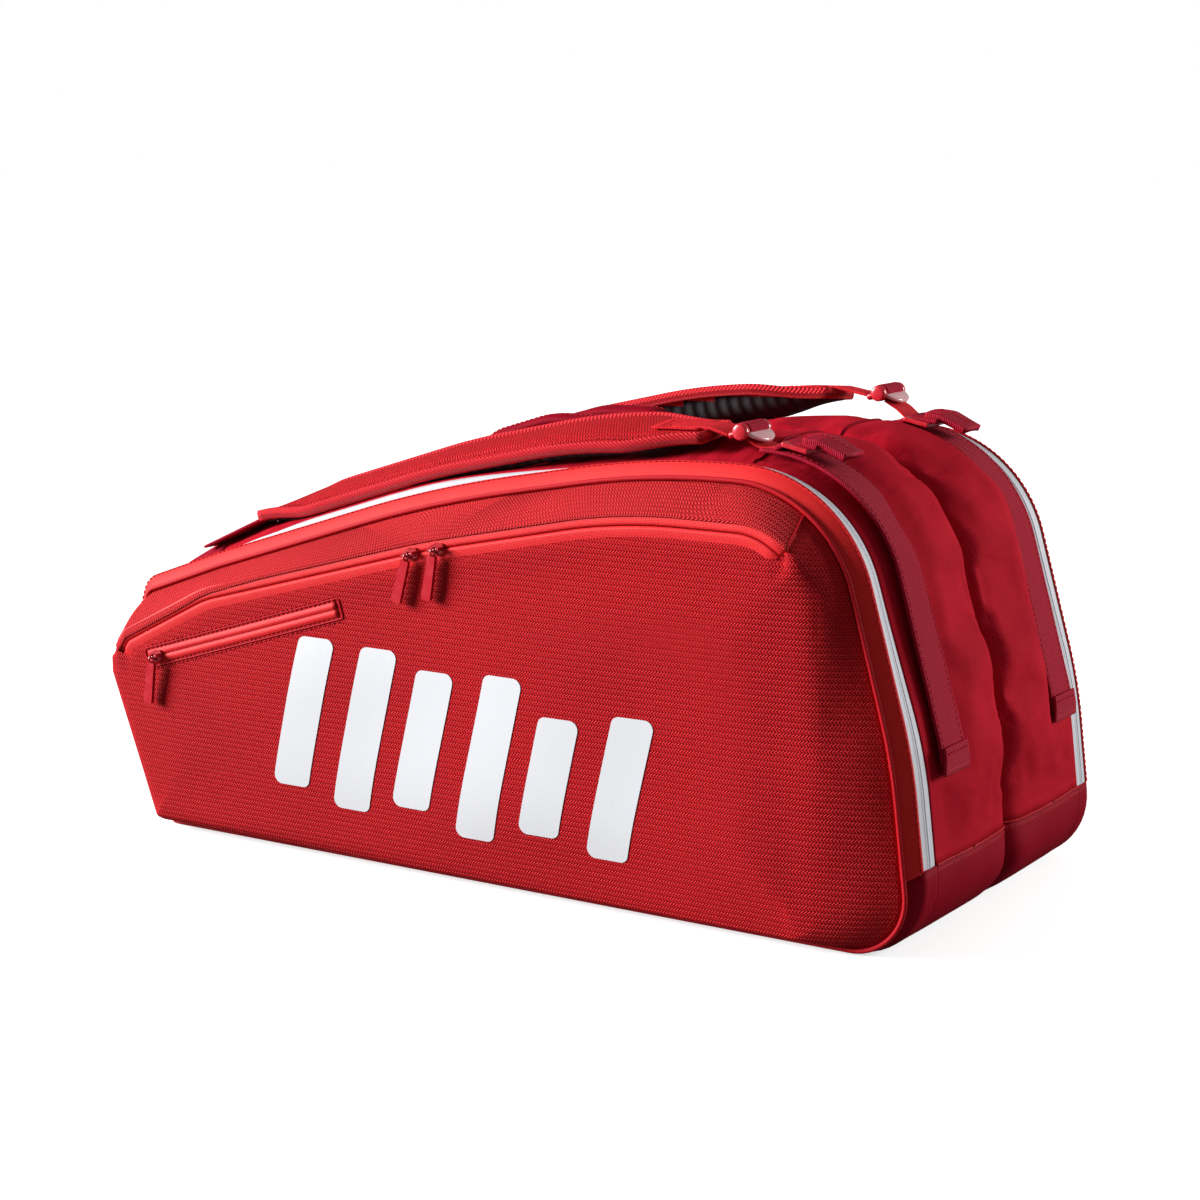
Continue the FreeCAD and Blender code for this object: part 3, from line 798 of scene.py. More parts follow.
def make_gore(side, tag):
    """The fabric below the main zip's ends, which joins the core and the lid."""
    body, out = at(BODY_P, LOWER), at(BODY_N, LOWER)
    seam = at(SEAM_P, LOWER)
    rows = []
    for y in (-130.6, -134, -138, -142, -146, -150):
        rise = shoulder(body) * (TAPE_OUT + y) / 20 + 0.8
        rows.append(row(above_floor(body + out * rise[:, None]), y))
    for k in np.linspace(0, 1, 7)[1:]:
        mixed = body * (1 - k) + seam * k + out * (1.6 * math.sin(math.pi * k))
        rows.append(row(above_floor(mixed), -150 - 10.5 * k))
    gore = dress(sheet_piece(tag + "boot_gore", rows, 2.0, side), SMOOTH, None)
    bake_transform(gore)


# ------------------------------------------------------------------ main zip and lid
def zip_rows(ys, offsets, ts):
    points, out = at(BODY_P, ts), at(BODY_N, ts)
    edge = shoulder(points)
    return [row(points + out * (n + edge * (TAPE_OUT + y) / 20)[:, None], y)
            for y, n in zip(ys, offsets)]


def make_main_zip(side, tag):
    ends = span(T_LEFT - 0.4, T_RIGHT + 0.4)
    inner_y = [-130.2, -131.5, -134, -137, -138.6, -139.4, -140.2, -140.85]
    inner_n = [-1.2, -0.7, -0.4, -0.2, -0.1, 0.5, 0.5, -0.6]
    inner = sheet_piece(tag + "core_tape", zip_rows(inner_y, inner_n, ends), 0.9, side)
    dress(inner, WHITE_ZIP, "core", [tag + "core_zip_tape"])
    outer_y = [-141.15, -141.8, -142.6, -143.4, -145, -148, -150.5, -151.8]
    outer = sheet_piece(tag + "lid_tape", zip_rows(outer_y, inner_n[::-1], ends), 0.9, side)
    dress(outer, WHITE_ZIP, tag + "lid", [tag + "lid_zip_tape"])


def make_band(side, tag):
    """Smooth bright band between the main zip and the piping, with a turned edge."""
    body, out = at(BODY_P, UPPER), at(BODY_N, UPPER)
    seam = at(SEAM_P, UPPER)
    rows = [row(body + out * -1.4, -151.4), row(body + out * -0.3, -150.6),
            row(body + out * 0.5, -150.7), row(body + out * 0.8, -151.3)]
    for k in np.linspace(0, 1, 9)[1:]:
        mixed = body * (1 - k) + seam * k + out * (0.8 + 1.4 * math.sin(math.pi * k) - 0.6 * k)
        rows.append(row(mixed, -151.3 - 9.3 * k))
    band = sheet_piece(tag + "lid_side_band", rows, 1.8, side)
    dress(band, BRIGHT, tag + "lid", [tag + "lid_band"])
    line = body * 0.84 + seam * 0.16 + out * 2.3
    stitches(tag + "band_stitches", row(line, -152.9), row(out, -0.2), tag + "lid",
             side)


# ------------------------------------------------------------------ pocket: strip, bevel, face
def bevel_shape(ts):
    """How the face rolls over its edge into the bevel: total run, softness and slope."""
    face, seam = at(FACE_P, ts), at(SEAM_P, ts)
    run = np.linalg.norm(seam - face, axis=1)
    from_zip = np.minimum((ts - T_ZIP_RIGHT) % RING, (T_ZIP_LEFT - ts) % RING)
    soft = np.maximum(np.minimum(26.0, run * 0.65) * smooth(from_zip / 9.0), 2.0)
    slope = (FACE_Y - SEAM_Y) / ((run + np.sqrt(run ** 2 + soft ** 2)) / 2)
    return run, soft, slope


def drop(s, soft, slope):
    return slope * (s + np.sqrt(s ** 2 + soft ** 2)) / 2


def bevel_rows(ts):
    """Rows of points from the face's edge down to the piped seam, with their weave coordinates."""
    face, seam, out = at(FACE_P, ts), at(SEAM_P, ts), at(FACE_N, ts)
    run, soft, slope = bevel_shape(ts)
    rows, weave = [], []
    travelled = np.zeros(len(ts))
    for k in np.linspace(0, 1, 16):
        down = drop(k * run, soft, slope)
        mixed = face * (1 - k) + seam * k + out * (1.2 * math.sin(math.pi * k))
        here = row(mixed, -FACE_Y + down)
        here[:, 1] += wobble(here, 0.012, 5.0) * 1.5 * math.sin(math.pi * k)
        here[:, 2] = np.maximum(here[:, 2], 0.4)
        if rows:
            travelled = travelled + np.linalg.norm(here - rows[-1], axis=1)
        rows.append(here)
        flat = np.linalg.norm(here[:, [0, 2]] - face, axis=1)
        weave.append(here[:, [0, 2]] + out * (travelled - flat)[:, None])
    return rows, weave


def blend_to_panel(obj):
    """Bake a piece's placement into its points."""
    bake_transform(obj)


def make_folds(side, tag):
    """Slight ridges where the bevel's ends are sewn in beside the pocket zip's ends."""
    rows, _ = bevel_rows(BEVEL_SPAN)
    for name, column in (("upper", 0), ("lower", -1)):
        line = np.array([r[column] for r in rows]) + (0, -0.3, 0.2)
        fold = dress(tube(f"{tag}bevel_fold_{name}", line, 0.8, side), PIPING, None)
        blend_to_panel(fold)


def make_strip(side, tag):
    """Woven strip above the pocket zip, whose lower edge overlaps the zip."""
    ts = span(T_ZIP_LEFT - 0.3, T_ZIP_RIGHT + 0.3)
    face, seam, out = at(FACE_P, ts), at(SEAM_P, ts), at(FACE_N, ts)
    over = (4.0 * smooth((-190 - face[:, 0]) / 110))[:, None]
    rows = [row(face - out * (back + over), -POCKET_Y - proud)
            for back, proud in ((0.6, 1.2), (1.6, 2.6), (1.0, 3.5), (-0.6, 3.6))]
    swell = 1.0 + 1.8 * smooth((len(face) - np.arange(len(face))) / 12.0)
    for k in np.linspace(0, 1, 12)[1:]:
        bulge = 0.6 * (1 - k) + swell * math.sin(math.pi * k)
        mixed = face * (1 - k) + seam * k + out * bulge[:, None]
        here = row(mixed, -POCKET_Y - 3.6 + 27.3 * k)
        here[:, 2] += wobble(here, 0.014, 2.0) * 0.9 * math.sin(math.pi * k)
        rows.append(here)
    strip = sheet_piece(tag + "pocket_top_strip", rows, 1.8, side)
    # the strip's woven cloth carries painted light and painted sheen
    dress(strip, WOVEN_STRIP_PAINTED_LIGHT, tag + "lid", [tag + "pocket_gusset"])


def make_pocket_zip(side, tag):
    """Both halves of the pocket zip's tape, tucked in at the zip's two ends."""
    place = np.arange(len(ZIP_SPAN))
    tuck = 2.6 * smooth(1 - (len(ZIP_SPAN) - place) / 4.0) + 2.2 * smooth(1 - place / 3.0)
    for half, body, start, stop in (("upper", "lid", -2.0, ZIP_RISE),
                                    ("lower", "pocket_panel", ZIP_RISE + 0.35, 2 * ZIP_RISE + 2.5)):
        rows = []
        for k in np.linspace(0, 1, 8):
            points, _ = ring(inset(FACE, start + (stop - start) * k))
            near = k if half == "upper" else 1 - k
            lift = (0.3 + 0.9 * math.sin(math.pi * min(near * 1.2, 1) * 0.5)
                    - 0.9 * smooth((near - 0.9) * 10))
            rows.append(row(at(points, ZIP_SPAN), -POCKET_Y - 1.5 - lift + tuck))
        dress(sheet_piece(f"{tag}pocket_tape_{half}", rows, 0.9, side), RED_ZIP, tag + body,
              [f"{tag}pocket_zip_{half}_tape"])


def panel_outline(inward):
    """The front panel's edge, drawn in along the pocket zip, and then moved inward."""
    lower = 2 * ZIP_RISE - 0.4
    ahead = (np.arange(RING, dtype=float) - T_ZIP_LEFT) % RING
    length = (T_ZIP_RIGHT - T_ZIP_LEFT) % RING
    inside = smooth((ahead + 2) / 4.0) * smooth((length + 1 - ahead) / 4.0)
    inside[ahead > length + 2] = 0.0
    inside = np.where(ahead > RING - 3, smooth((ahead - RING + 2) / 4.0), inside)
    steps = np.round((lower * inside + inward) / 0.5) * 0.5
    loop = np.zeros((RING, 2))
    for s in np.unique(steps):
        points, _ = ring(inset(FACE, float(s)))
        loop[steps == s] = points[steps == s]
    return loop, inside


EDGE_LOOP, EDGE_ZIP = panel_outline(0.0)
_, EDGE_SOFT, EDGE_SLOPE = bevel_shape(np.arange(RING, dtype=float))


def face_y(xz):
    """|y| of the front panel at points (x, z): rolled over at its edges, slightly full."""
    xz = np.asarray(xz, float)
    result = np.zeros(len(xz))
    for i, p in enumerate(xz):
        away = np.linalg.norm(EDGE_LOOP - p, axis=1)
        k = int(np.argmin(away))
        d = away[k]
        rolled = drop(-d, EDGE_SOFT[k], EDGE_SLOPE[k]) * (1 - smooth((d - 20) / 50))
        down = EDGE_ZIP[k] * 1.2 * (1 - smooth(d / 7.0)) + (1 - EDGE_ZIP[k]) * rolled
        full = 3.0 * smooth(d / 90) - 1.0 * smooth((60 - d) / 60) * smooth(d / 30)
        soft = noise.noise(Vector((p[0] * 0.006, p[1] * 0.006, 4.0))) * 3.2
        result[i] = FACE_Y - down + (full + soft * smooth(d / 40))
    return result


def make_face(side, tag):
    """The woven panel and the bevel that it rolls over into, as one piece of cloth."""
    loops = [EDGE_LOOP] + [panel_outline(s)[0] for s in (1.0, 2.5, 5.0, 9.0, 14.0, 20.0)]
    verts, faces, weave = fill(loops, lambda p: -face_y(p), 7.0)
    if side < 0:
        TREES["face"] = BVHTree.FromPolygons(verts.tolist(), [tuple(f) for f in faces])
    rows, bevel_weave = bevel_rows(BEVEL_SPAN)
    bevel_verts, bevel_faces, _ = grid(rows)
    first = len(verts)
    verts = np.concatenate([verts, bevel_verts])
    weave = np.concatenate([weave, np.concatenate(bevel_weave)])
    faces = [list(f) for f in faces]
    # wind both parts the same way before their shared edge is joined
    bevel_faces = [[first + i for i in f] for f in bevel_faces]
    turns = [sum(np.cross(verts[f[1]] - verts[f[0]], verts[f[2]] - verts[f[0]])[1] for f in part)
             for part in (faces, bevel_faces)]
    faces += [f if turns[0] * turns[1] > 0 else f[::-1] for f in bevel_faces]
    verts, faces, weave = joined(verts, faces, weave, 0.02)
    face = make_piece(tag + "front_face", verts, faces, weave, 2.4, side)
    dress(face, WOVEN, None, [tag + "front_panel"])
    blend_to_panel(face)


SIDES = ((-1, "near_"), (1, "far_"))
for one_side in SIDES:
    for make in (make_core, make_cross_seam, make_gore, make_main_zip, make_band, make_folds, make_strip,
                 make_pocket_zip, make_face):
        make(*one_side)


# ------------------------------------------------------------------ things sewn or printed on the face
SMALL_LOW, SMALL_HIGH = np.array((-323.0, 149.0)), np.array((-117.0, 212.0))


def on_face(points, lift):
    """Points (x, z) laid on the near front panel, lift millimetres proud of it."""
    points = np.asarray(points, float)
    lift = np.broadcast_to(np.asarray(lift, float), (len(points),))
    found = []
    for (x, z), up in zip(points, lift):
        where = TREES["face"].ray_cast(Vector((x, -400.0, z)), Vector((0, 1, 0)))[0]
        found.append((where[1] if where else -FACE_Y) - up)
    return row(points, found)


def make_small_pocket():
    """The small slanted pocket's zip tape, its frame and the stitches along it."""
    along = unit(SMALL_HIGH - SMALL_LOW)
    across = np.array((-along[1], along[0]))
    length = np.linalg.norm(SMALL_HIGH - SMALL_LOW)
    steps = np.linspace(3, length - 4, 60)
    rows = []
    for offset, lift in ((-6.4, 0.1), (-6.0, 0.8), (-3.4, 1.3), (-0.9, 1.5), (-0.35, 0.5), (0.35, 0.5),
                         (0.9, 1.5), (3.4, 1.3), (6.0, 0.8), (6.4, 0.1)):
        rows.append(on_face(SMALL_LOW + steps[:, None] * along + offset * across, lift))
    dress(sheet_piece("small_pocket_tape", rows, 0.5), RED_ZIP, "near_pocket_panel",
          ["small_pocket_zip_tape"])
    corners = [(0, -8.2), (length, -8.2), (length, 8.2), (0, 8.2), (0, -8.2)]
    ring_path = resample(np.array([SMALL_LOW + a * along + b * across for a, b in corners]), 3.0)
    welt = tube("small_pocket_frame", on_face(ring_path, 0.25), 0.8, -1, up=(0, 1, 0))
    dress(welt, PIPING, "near_pocket_panel", ["small_pocket_welt"])
    for name, away, lift in (("outer", 10.0, 0.35), ("inner", 6.9, 0.9)):
        for sign, word in ((-1, "down"), (1, "up")):
            line = resample(np.array([SMALL_LOW + a * along + sign * away * across
                                      for a in (1.0, length - 1.0)]), 4.0)
            stitches(f"small_pocket_{name}_stitches_{word}",
                     on_face(line, lift), (0, -1.0, 0), "near_pocket_panel")


def make_print():
    """Six plain slanted bars, each laid on the panel."""
    for i, (x, low, high) in enumerate(((-188, 62, 186), (-128, 50, 184), (-68, 60, 172),
                                        (-8, 44, 176), (52, 56, 150), (112, 46, 158))):
        lean = (high - low) * 0.24
        corners = [(x, low, 7), (x + lean, high, 7), (x + lean + 36, high, 7), (x + 36, low, 7)]
        loop = []
        for k, arc in enumerate(arcs_of(corners)):
            loop.extend(arc_points(arc, 8)[0])
            following = arcs_of(corners)[(k + 1) % 4][0]
            steps = max(2, int(np.linalg.norm(following - arc[1]) / 3))
            loop.extend(arc[1] + (following - arc[1]) * j / steps for j in range(1, steps))
        verts, faces, xz = fill([loop], lambda p: on_face(p, 0.5)[:, 1], 3.5)
        dress(make_piece(f"print_bar_{i}", verts, faces, xz), PRINT, "near_pocket_panel",
              ["front_print"])


make_small_pocket()
make_print()


# ------------------------------------------------------------------ webbing, pads and handles
def strap(name, path, y, width, thick, side, body, replaces=(), material=WEBBING, crown_mm=0.0,
          lean=0.0):
    """Closed flat webbing along a path, its points and outward directions in XZ, centred on y; lean
    lifts its inner edge."""
    points, outward = path
    width = np.broadcast_to(np.asarray(width, float), (len(points),))
    half = [(-1, -0.2)] + [(a, -0.5) for a in (-0.985, -0.9, -0.45, 0, 0.45, 0.9, 0.985)] + [(1, -0.2)]
    section = half + [(-a, -b) for a, b in half]
    rings = []
    for p, n, w in zip(points, outward, width):
        lifts = [b * thick + crown_mm * (1 - a * a) + lean * a * w / 2 for a, b in section]
        rings.append([(p[0] + n[0] * lift, y + a * w / 2, p[1] + n[1] * lift)
                      for (a, b), lift in zip(section, lifts)])
    return dress(loft(name, rings, side, turned=True), material, body, replaces)


def straight(a, b, step):
    """Points and upward directions of a straight run from a to b in XZ."""
    a, b = np.array(a, float), np.array(b, float)
    count = max(2, int(np.linalg.norm(b - a) / step))
    along = unit(b - a)
    points = a + (b - a) * np.linspace(0, 1, count + 1)[:, None]
    return points, np.tile((-along[1], along[0]), (count + 1, 1))


def puff(obj, cap):
    """Swell a closed pad with a short cloth simulation, each point held to within cap of its start."""
    bpy.context.view_layer.objects.active = obj
    remesh = obj.modifiers.new("remesh", "REMESH")
    remesh.mode = "VOXEL"
    remesh.voxel_size = 0.005
    remesh.use_smooth_shade = True
    bpy.ops.object.modifier_apply(modifier="remesh")
    drape(obj, cap, 4.0, 20, 0.05)


def pad_shape(side, corners):
    """A pad's middle line and, along it, its half width, its depth, how far it hangs and its lean.
    Its edge toward the lid hangs lower than its inner edge."""
    points, out = open_path(corners, 5.0)
    along = np.concatenate([[0], np.cumsum(np.linalg.norm(np.diff(points, axis=0), axis=1))])
    whole = along[-1]
    half = 21 + 10 * smooth(along / 70) - 9 * smooth((along - whole + 70) / 75)
    deep = 4.0 + 1.8 * smooth(along / 40) - 1.4 * smooth((along - whole + 50) / 50)
    near_end = smooth((along - whole + 70) / 60)
    hang = smooth(along / 90) * smooth((whole - along) / 110)
    belly = 1.5 - 0.4 * near_end + (1.5 if side > 0 else 0.3) * hang
    lean = math.tan(math.radians(15)) * (smooth(along / 60) - 0.6 * near_end)
    return points, out, half, deep, belly, lean


def leaned(p, n, lean, y, lift):
    """A point of a pad's section, y across and lift up from its middle line."""
    up = lift + lean * y
    return (p[0] + n[0] * up, -STRAP_Y + y, p[1] + n[1] * up)


def make_cushion(side, tag, points, out, half, deep, belly, lean):
    """The pad itself: swollen cloth, stitched down along both edges, with a mesh underside."""
    rings = []
    for p, n, w, d, low, tilt in zip(points, out, half, deep, belly, lean):
        loop = []
        for a in np.linspace(0, 2 * math.pi, 28, endpoint=False):
            c, s = math.cos(a), math.sin(a)
            y = math.copysign(abs(c) ** 0.55, c) * (w - 1.5)
            lift = math.copysign(abs(s) ** 0.75, s) * d * (1 - 0.25 * (y / w) ** 4)
            loop.append(leaned(p, n, tilt, y, lift * (1.0 if s > 0 else low)))
        rings.append(loop)
    pad = loft(tag + "pad_cushion", rings, side)
    puff(pad, 2.6)
    co = np.array([v.co for v in pad.data.vertices]) / MM
    channel = np.exp(-((np.abs(np.abs(co[:, 1]) - STRAP_Y) - 19.5) / 2.2) ** 2)
    nearest = np.array([np.argmin(np.hypot(points[:, 0] - c[0], points[:, 1] - c[2])) for c in co])
    above = ((co[:, 0] - points[nearest, 0]) * out[nearest, 0]
             + (co[:, 2] - points[nearest, 1]) * out[nearest, 1])
    above -= lean[nearest] * (STRAP_Y - np.abs(co[:, 1]))
    press = 1.1 * channel * smooth(above / 3.0) * smooth((half[nearest] - 24) / 4)
    co[:, [0, 2]] -= out[nearest] * press[:, None]
    pad.data.vertices.foreach_set("co", (co * MM).astype(np.float32).ravel())
    dress(pad, WOVEN_PAD, tag + "shoulder_strap", [tag + "shoulder_pad"])
    pad.data.materials.append(MESH)
    for polygon in pad.data.polygons:
        polygon.material_index = 1 if above[polygon.vertices[0]] < -1.5 else 0
        polygon.use_smooth = True
    smoother = pad.modifiers.new("smooth", "SUBSURF")
    smoother.levels = smoother.render_levels = 1


def make_pad_trim(side, tag, points, out, half, deep, lean):
    """Twill binding round the pad, stitches along it, and the patch sewn on its end."""
    body = tag + "shoulder_strap"
    there = list(range(len(points)))
    around = [leaned(points[k], out[k], lean[k], sign * half[k], 1.6)
              for sign, run in ((-1, there), (1, there[::-1])) for k in run]
    up = [(out[k, 0], -lean[k], out[k, 1]) for k in there + there[::-1]]
    both_lines = resample(np.concatenate([around + around[:1], up + up[:1]], 1), 5.0)
    binding = tube(tag + "pad_binding", both_lines[:, :3], 1.9, side, sides=10, flat=2.5,
                   up=both_lines[:, 3:])
    dress(binding, TWILL, body)
    line = [leaned(points[k], out[k], lean[k], -(half[k] - 5.5), deep[k] + 0.7) for k in there[3:-3]]
    stitches(tag + "pad_edge_stitches", np.array(line), row(out[3:-3], 0.0), body, side)

    patch = points[-10:-1] + out[-10:-1] * (deep[-10:-1, None] + 2.4)
    strap(tag + "pad_end_patch", (patch, out[-10:-1]), -STRAP_Y, 33, 1.2, side, body,
          material=BRIGHT_WEBBING, lean=lean[-1])
    first, last = patch[1] + out[-9] * 0.8, patch[-2] + out[-3] * 0.8
    tip = 11 * lean[-1]
    triangle = resample(np.array([(first[0], -STRAP_Y - 11, first[1] - tip),
                                  (first[0], -STRAP_Y + 11, first[1] + tip),
                                  (last[0], -STRAP_Y, last[1]),
                                  (first[0], -STRAP_Y - 11, first[1] - tip)]), 4.0)
    stitches(tag + "pad_patch_stitches", triangle, (0, 0, 1.0), body, side, length=2.6,
             gap=1.0)


def make_pad(side, tag, corners, reach):
    """Shoulder strap: webbing from its anchor patch, the pad, the adjuster and the run to the ring."""
    points, out, half, deep, belly, lean = pad_shape(side, corners)
    make_cushion(side, tag, points, out, half, deep, belly, lean)
    make_pad_trim(side, tag, points, out, half, deep, lean)
    strap(tag + "anchor_strap", straight((-318, 234.0), points[2], 5.0), -STRAP_Y, 38, 2.2, side,
          tag + "shoulder_strap", [tag + "anchor_webbing"])
    end_x, end_z, _ = corners[-1]
    bar_x, bar_z = end_x + reach, end_z + 2
    folded = open_path([(end_x - 30, end_z + 5.6, 0), (end_x + 2, end_z + 6.6, 8),
                        (bar_x - 3.6, bar_z, 0)], 3.0)
    strap(tag + "pad_end_tab", folded, -STRAP_Y, 27, 2.2, side, tag + "shoulder_strap",
          [tag + "pad_tab"], BRIGHT_WEBBING, lean=lean[-1] * 0.6)

    # webbing rolled over the adjuster's bar, and its run down to the ring on the core
    tilt = math.radians(24)
    cx, cz = bar_x + 9 * math.cos(tilt), bar_z + 9 * math.sin(tilt) - 0.5
    angles = np.linspace(math.radians(210), math.radians(-60), 22)
    rolled = np.stack([np.cos(angles), np.sin(angles)], 1)
    strap(tag + "adjuster_roll", ((cx, cz) + 6.0 * rolled, rolled), -STRAP_Y, 27, 1.8, side,
          tag + "adjuster")
    make_adjuster(side, tag, bar_x, bar_z, cx, cz)
    down = open_path([(cx + 3, cz - 6, 0), (cx + 14, cz - 12, 20), (239, 355.5, 0)], 2.0)
    run = strap(tag + "adjuster_run", down, -STRAP_Y, 25, 1.8, side, None,
                [tag + "adjuster_webbing"], BRIGHT_WEBBING)
    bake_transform(run)


def lathe(name, profile, centre, side):
    """A turned shape about an axis along Y; the profile is (y, radius)."""
    angles = np.linspace(0, 2 * math.pi, 28, endpoint=False)
    rings = [[(centre[0] + r * math.cos(a), -STRAP_Y + y, centre[1] + r * math.sin(a)) for a in angles]
             for y, r in profile]
    return loft(name, rings, side)


def make_adjuster(side, tag, bar_x, bar_z, cx, cz):
    """Ladder adjuster: rear bar, side rails, a thick bar with round ends and a rounded lip."""
    rod = [(-18, 0.5), (-17.6, 2.0), (-16.5, 2.6), (16.5, 2.6), (17.6, 2.0), (18, 0.5)]
    parts = [lathe(tag + "adjuster_rear_bar", rod, (bar_x, bar_z), side),
             lathe(tag + "adjuster_thick_bar", [(-14, 4.9), (14, 4.9)], (cx, cz), side)]
    for sign, word in ((-1, "outer"), (1, "inner")):
        cap = [(sign * y, r) for y, r in ((13.7, 3.0), (13.8, 6.0), (14.2, 6.4), (18.4, 6.3),
                                          (19.2, 5.8), (19.7, 4.8), (19.9, 2.6), (20.0, 0.5))]
        parts.append(lathe(f"{tag}adjuster_cap_{word}", cap, (cx, cz), side))
        rail = row(np.array([(bar_x - 1.0, bar_z), (cx - 4, cz - 1.5), (cx, cz)]), -STRAP_Y + sign * 16.6)
        parts.append(tube(f"{tag}adjuster_rail_{word}", resample(rail, 2.0), 2.4, side, flat=1.2))
    for part in parts:
        dress(part, PLASTIC, tag + "adjuster")
    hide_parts(tag + "strap_adjuster")
    # the lip slopes down towards the head end
    slope = math.radians(-30)
    angles = np.linspace(-math.pi / 2, math.pi / 2, 25)
    base = np.stack([6.2 + 11.5 * np.cos(angles), 16.5 * np.sin(angles)], 1)
    middle = np.array((9.0, 0.0))
    rings = []
    for grow, lift in ((0.90, -1.5), (0.985, -1.1), (1.0, -0.2), (1.0, 0.6), (0.98, 1.2), (0.90, 1.6)):
        loop = []
        for along, y in middle + (base - middle) * grow:
            loop.append((cx + along * math.cos(slope) - lift * math.sin(slope), -STRAP_Y + y,
                         cz + 2.0 + along * math.sin(slope) + lift * math.cos(slope)))
        rings.append(loop)
    dress(loft(tag + "adjuster_lip", rings, side), PALE_PLASTIC, tag + "adjuster")


def make_end_strap(side, tag):
    """Webbing over the head end, laid just clear of the lobe, with stitches along both edges."""
    points, out = open_path(END_STRAP, 5.0)
    strap(tag + "end_strap", (points, out), -STRAP_Y, 38, 2.4, side, "core", ["end_straps"],
          crown_mm=0.6)
    for sign, word in ((-1, "out"), (1, "in")):
        line = row(points[3:-2] + out[3:-2] * 1.5, -STRAP_Y + sign * 15.5)
        stitches(f"{tag}end_strap_stitches_{word}", line, row(out[3:-2], 0.0), "core", side)


def make_anchor_patch(side, tag):
    """Patch on the handle-end slope that the shoulder strap's webbing is sewn to."""
    ts = np.arange(SIDE_FROM[2] + 1, SIDE_FROM[2] + COUNTS[2][1] - 3, dtype=float)
    patch = sheet_piece(tag + "anchor_patch", laid(side, ts, -STRAP_Y + np.linspace(-25, 25, 9), 1.4),
                        2.2, side)
    dress(patch, WEBBING, "core", ["strap_anchor_patches"])
    for sign, word in ((-1, "out"), (1, "in")):
        line = laid(side, ts[1:-1], [-STRAP_Y + sign * 22], 1.8)[0]
        stitches(f"{tag}anchor_stitches_{word}", line, row(at(BODY_N, ts)[1:-1], 0.0), "core",
                 side)


def make_handle_patches(side, tag):
    """Patches on the lobe that the grab handle's ends are sewn to."""
    for name, x in (("grip", HANDLE[0][0] + 2), ("head", HANDLE[-1][0])):
        ts = np.array([top_index(x + along) for along in np.linspace(-16, 16, 9)])
        patch = sheet_piece(f"{tag}handle_patch_{name}",
                            laid(side, ts, -HANDLE_Y + np.linspace(-16, 16, 9), 1.4), 2.0, side)
        dress(patch, WEBBING, "core", ["handle_anchor_patches"])


def make_tail(side, tag):
    """The strap's end folded back through the ring, and its loose folded tail."""
    path = open_path([(231, 353.6, 0), (240, 358.0, 6), (266, 356.5, 0)], 2.0)
    strap(tag + "strap_fold", path, -STRAP_Y, 38.5, 3.6, side, "core", crown_mm=0.8)
    line, up = open_path([(254, 360.6, 0), (266, 359.6, 12), (287, 350.0, 0)], 2.0)
    width = 34 - 5 * smooth(np.linspace(0, 1, len(line)))
    strap(tag + "strap_tail", (line, up), -STRAP_Y - 1.5, width, 5.2, side, "core", ["strap_tails"],
          crown_mm=1.2)
    cuts = row(line[1:-1] + up[1:-1] * 4.3, -STRAP_Y - 1.5)
    stitches(tag + "strap_tail_stitches", cuts, row(up[1:-1], 0.0), "core", side)


def make_foot(side, tag):
    """The sewn end of the end strap: a thin folded patch lying on the lobe."""
    line, up = open_path([(369.6, 149, 0), (371.2, 139, 20), (371.4, 129.5, 0)], 1.6)
    width = 38.4 + 3.0 * smooth(np.linspace(0, 1, len(line)))
    strap(tag + "strap_foot", (line + up * 1.6, up), -STRAP_Y, width, 2.2, side, "core",
          ["strap_feet"], crown_mm=0.5)
    for at_z in (133.0, 145.0):
        x = 374.0 + (139 - at_z) * 0.04
        across = resample(np.array([(x, -STRAP_Y + y, at_z) for y in (-17, 17)]), 3.0)
        stitches(f"{tag}strap_foot_stitches_{int(at_z)}", across, (1.0, 0.0, 0.1), "core",
                 side)


def make_handle(side, tag):
    """Padded grab handle: flat webbing ends, a rounded sleeve between them."""
    points, out = open_path(HANDLE, 4.0)
    share = np.linspace(0, 1, len(points))
    full = smooth(share / 0.28) * smooth((1 - share) / 0.28)
    width = 20 + 4 * full
    rings = []
    for p, n, w, f in zip(points, out, width, full):
        loop = []
        for a in np.linspace(0, 2 * math.pi, 20, endpoint=False):
            y = math.cos(a) * w / 2
            lift = math.copysign(abs(math.sin(a)) ** 0.8, math.sin(a)) * (1.6 + 3.6 * f)
            loop.append((p[0] + n[0] * lift, -HANDLE_Y + y, p[1] + n[1] * lift))
        rings.append(loop)
    sleeve = loft(tag + "handle_sleeve", rings, side, turned=True)
    dress(sleeve, SMOOTH, tag + "handle", [tag + "grab_handle"])
    middle = slice(len(points) // 6, -len(points) // 6)
    line = row(points[middle] + out[middle] * (1.6 + 3.4 * full[middle])[:, None], -HANDLE_Y - 5.0)
    stitches(tag + "handle_stitches", line, row(out[middle], -0.3), tag + "handle", side)


for one_side, pad_line, pad_reach in zip(SIDES, (NEAR_PAD, FAR_PAD), (22, 34)):
    make_pad(*one_side, pad_line, pad_reach)
    for make in (make_end_strap, make_tail, make_foot, make_anchor_patch, make_handle_patches,
                 make_handle):
        make(*one_side)


# ------------------------------------------------------------------ carried-over CAD nodes
def both(*names):
    return [tag + name for _, tag in SIDES for name in names]


for names, paint in (
        (both("lid_piping"), PIPING),
        (both("lid_inner_wall") + ["centre_divider", "small_pocket_pouch"], LINING),
        (["base_boards"], BOARD),
        (both("pocket_slider_left", "pocket_slider_right", "main_slider") + ["small_slider"], PAINT),
        (both("pocket_pull_left", "pocket_pull_right", "main_pull") + ["small_pull", "strap_rings"],
         PLASTIC)):
    for name in names:
        NODES[name].data.materials.clear()
        NODES[name].data.materials.append(paint)


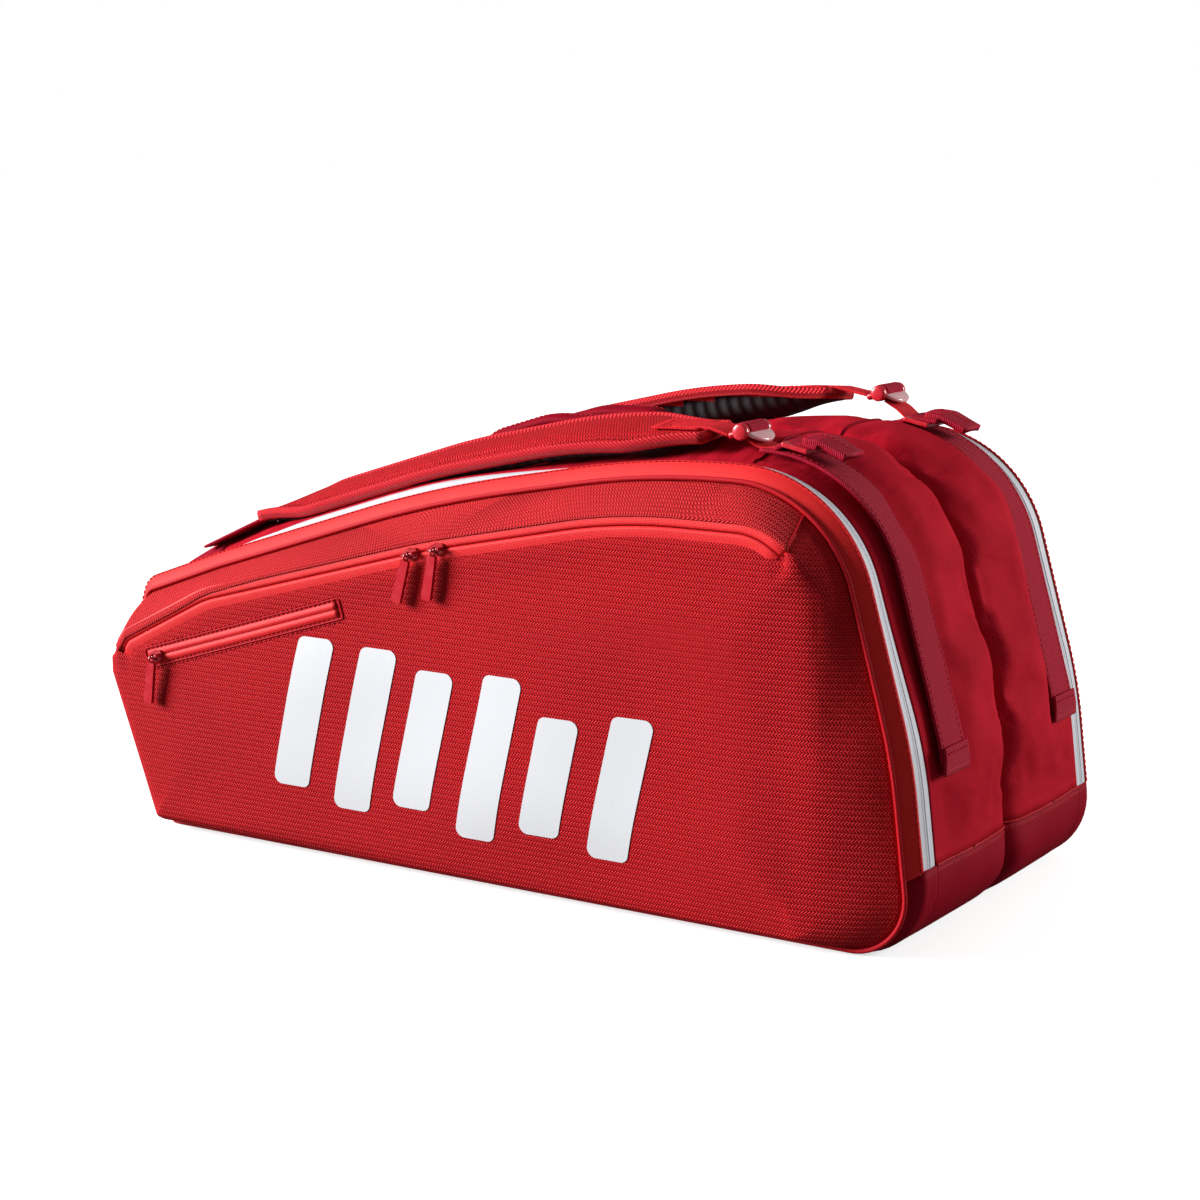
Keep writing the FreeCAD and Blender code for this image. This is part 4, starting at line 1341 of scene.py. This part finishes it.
# ------------------------------------------------------------------ floor, lights, camera
FILL = 0.2               # strength of the even light from all round
FLOOR_GLOW, FLOOR_DIM = 0.62, 0.16      # what lifts the floor that the camera sees, and its grey to light


def direction(azimuth, elevation):
    """Unit vector out towards an azimuth and an elevation in degrees; azimuth 0 is the near side."""
    a, e = math.radians(azimuth), math.radians(elevation)
    return Vector((math.sin(a) * math.cos(e), -math.cos(a) * math.cos(e), math.sin(e)))


def for_camera(tree, plain, seen, output):
    """Use the shader seen for what the camera sees itself and the plain one for everything else."""
    ray_kind, either = tree.nodes.new("ShaderNodeLightPath"), tree.nodes.new("ShaderNodeMixShader")
    tree.links.new(ray_kind.outputs["Is Camera Ray"], either.inputs[0])
    tree.links.new(plain.outputs[0], either.inputs[1])
    tree.links.new(seen.outputs[0], either.inputs[2])
    tree.links.new(either.outputs[0], tree.nodes[output].inputs[0])


floor_mesh = bpy.data.meshes.new("floor")
floor_mesh.from_pydata([(-30, -30, 0), (30, -30, 0), (30, 30, 0), (-30, 30, 0)], [], [(0, 1, 2, 3)])
floor = add_object("floor", floor_mesh)
floor_look = Look("floor_pale", "object")
floor_mesh.materials.append(floor_look.done((0.80, 0.80, 0.80), 0.9, specular=0.0))
glow = floor_look.node("ShaderNodeEmission", {0: (1, 1, 1, 1), 1: FLOOR_GLOW})
dim = floor_look.node("ShaderNodeBsdfDiffuse", {0: (FLOOR_DIM, FLOOR_DIM, FLOOR_DIM, 1)})
bright = floor_look.node("ShaderNodeAddShader", {0: floor_look.shader.outputs[0], 1: glow.outputs[0]})
for_camera(floor_look.tree, dim, bright, "Material Output")

world = bpy.data.worlds.new("studio")
world.use_nodes = True
sky = world.node_tree.nodes["Background"]
sky.inputs[0].default_value = (1, 1, 1, 1)
sky.inputs[1].default_value = FILL
backdrop = world.node_tree.nodes.new("ShaderNodeBackground")
backdrop.inputs[0].default_value = (1, 1, 1, 1)
for_camera(world.node_tree, sky, backdrop, "World Output")
bpy.context.scene.world = world

key_data = bpy.data.lights.new("key", "SUN")
key_data.energy, key_data.angle = 7.6, math.radians(28)
key = add_object("key", key_data)
key.rotation_euler = direction(-60, 17).to_track_quat("Z", "Y").to_euler()
rim_data = bpy.data.lights.new("rim", "AREA")
rim_data.shape = "RECTANGLE"
rim_data.size = rim_data.size_y = 0.9
rim_data.energy = 66
rim = add_object("rim", rim_data)
rim.location = (2.1, 1.7, 0.9)
rim.rotation_euler = (Vector((0.3, 0, 0.2)) - rim.location).to_track_quat("-Z", "Y").to_euler()

bpy.context.scene.view_settings.view_transform = "Standard"
camera_data = bpy.data.cameras.new("camera")
camera_data.lens, camera_data.sensor_width = 75.0, 36.0
camera_data.clip_start, camera_data.clip_end = 0.02, 100.0
camera = add_object("camera", camera_data)
CAMERA_BACK, CAMERA_TARGET, CAMERA_DISTANCE = direction(32.7, 10.4), Vector((0.032, -0.042, 0.211)), 2.0045
camera.location = CAMERA_TARGET + CAMERA_BACK * CAMERA_DISTANCE
camera.rotation_mode = "QUATERNION"
camera.rotation_quaternion = (-CAMERA_BACK).to_track_quat("-Z", "Y")
bpy.context.scene.camera = camera
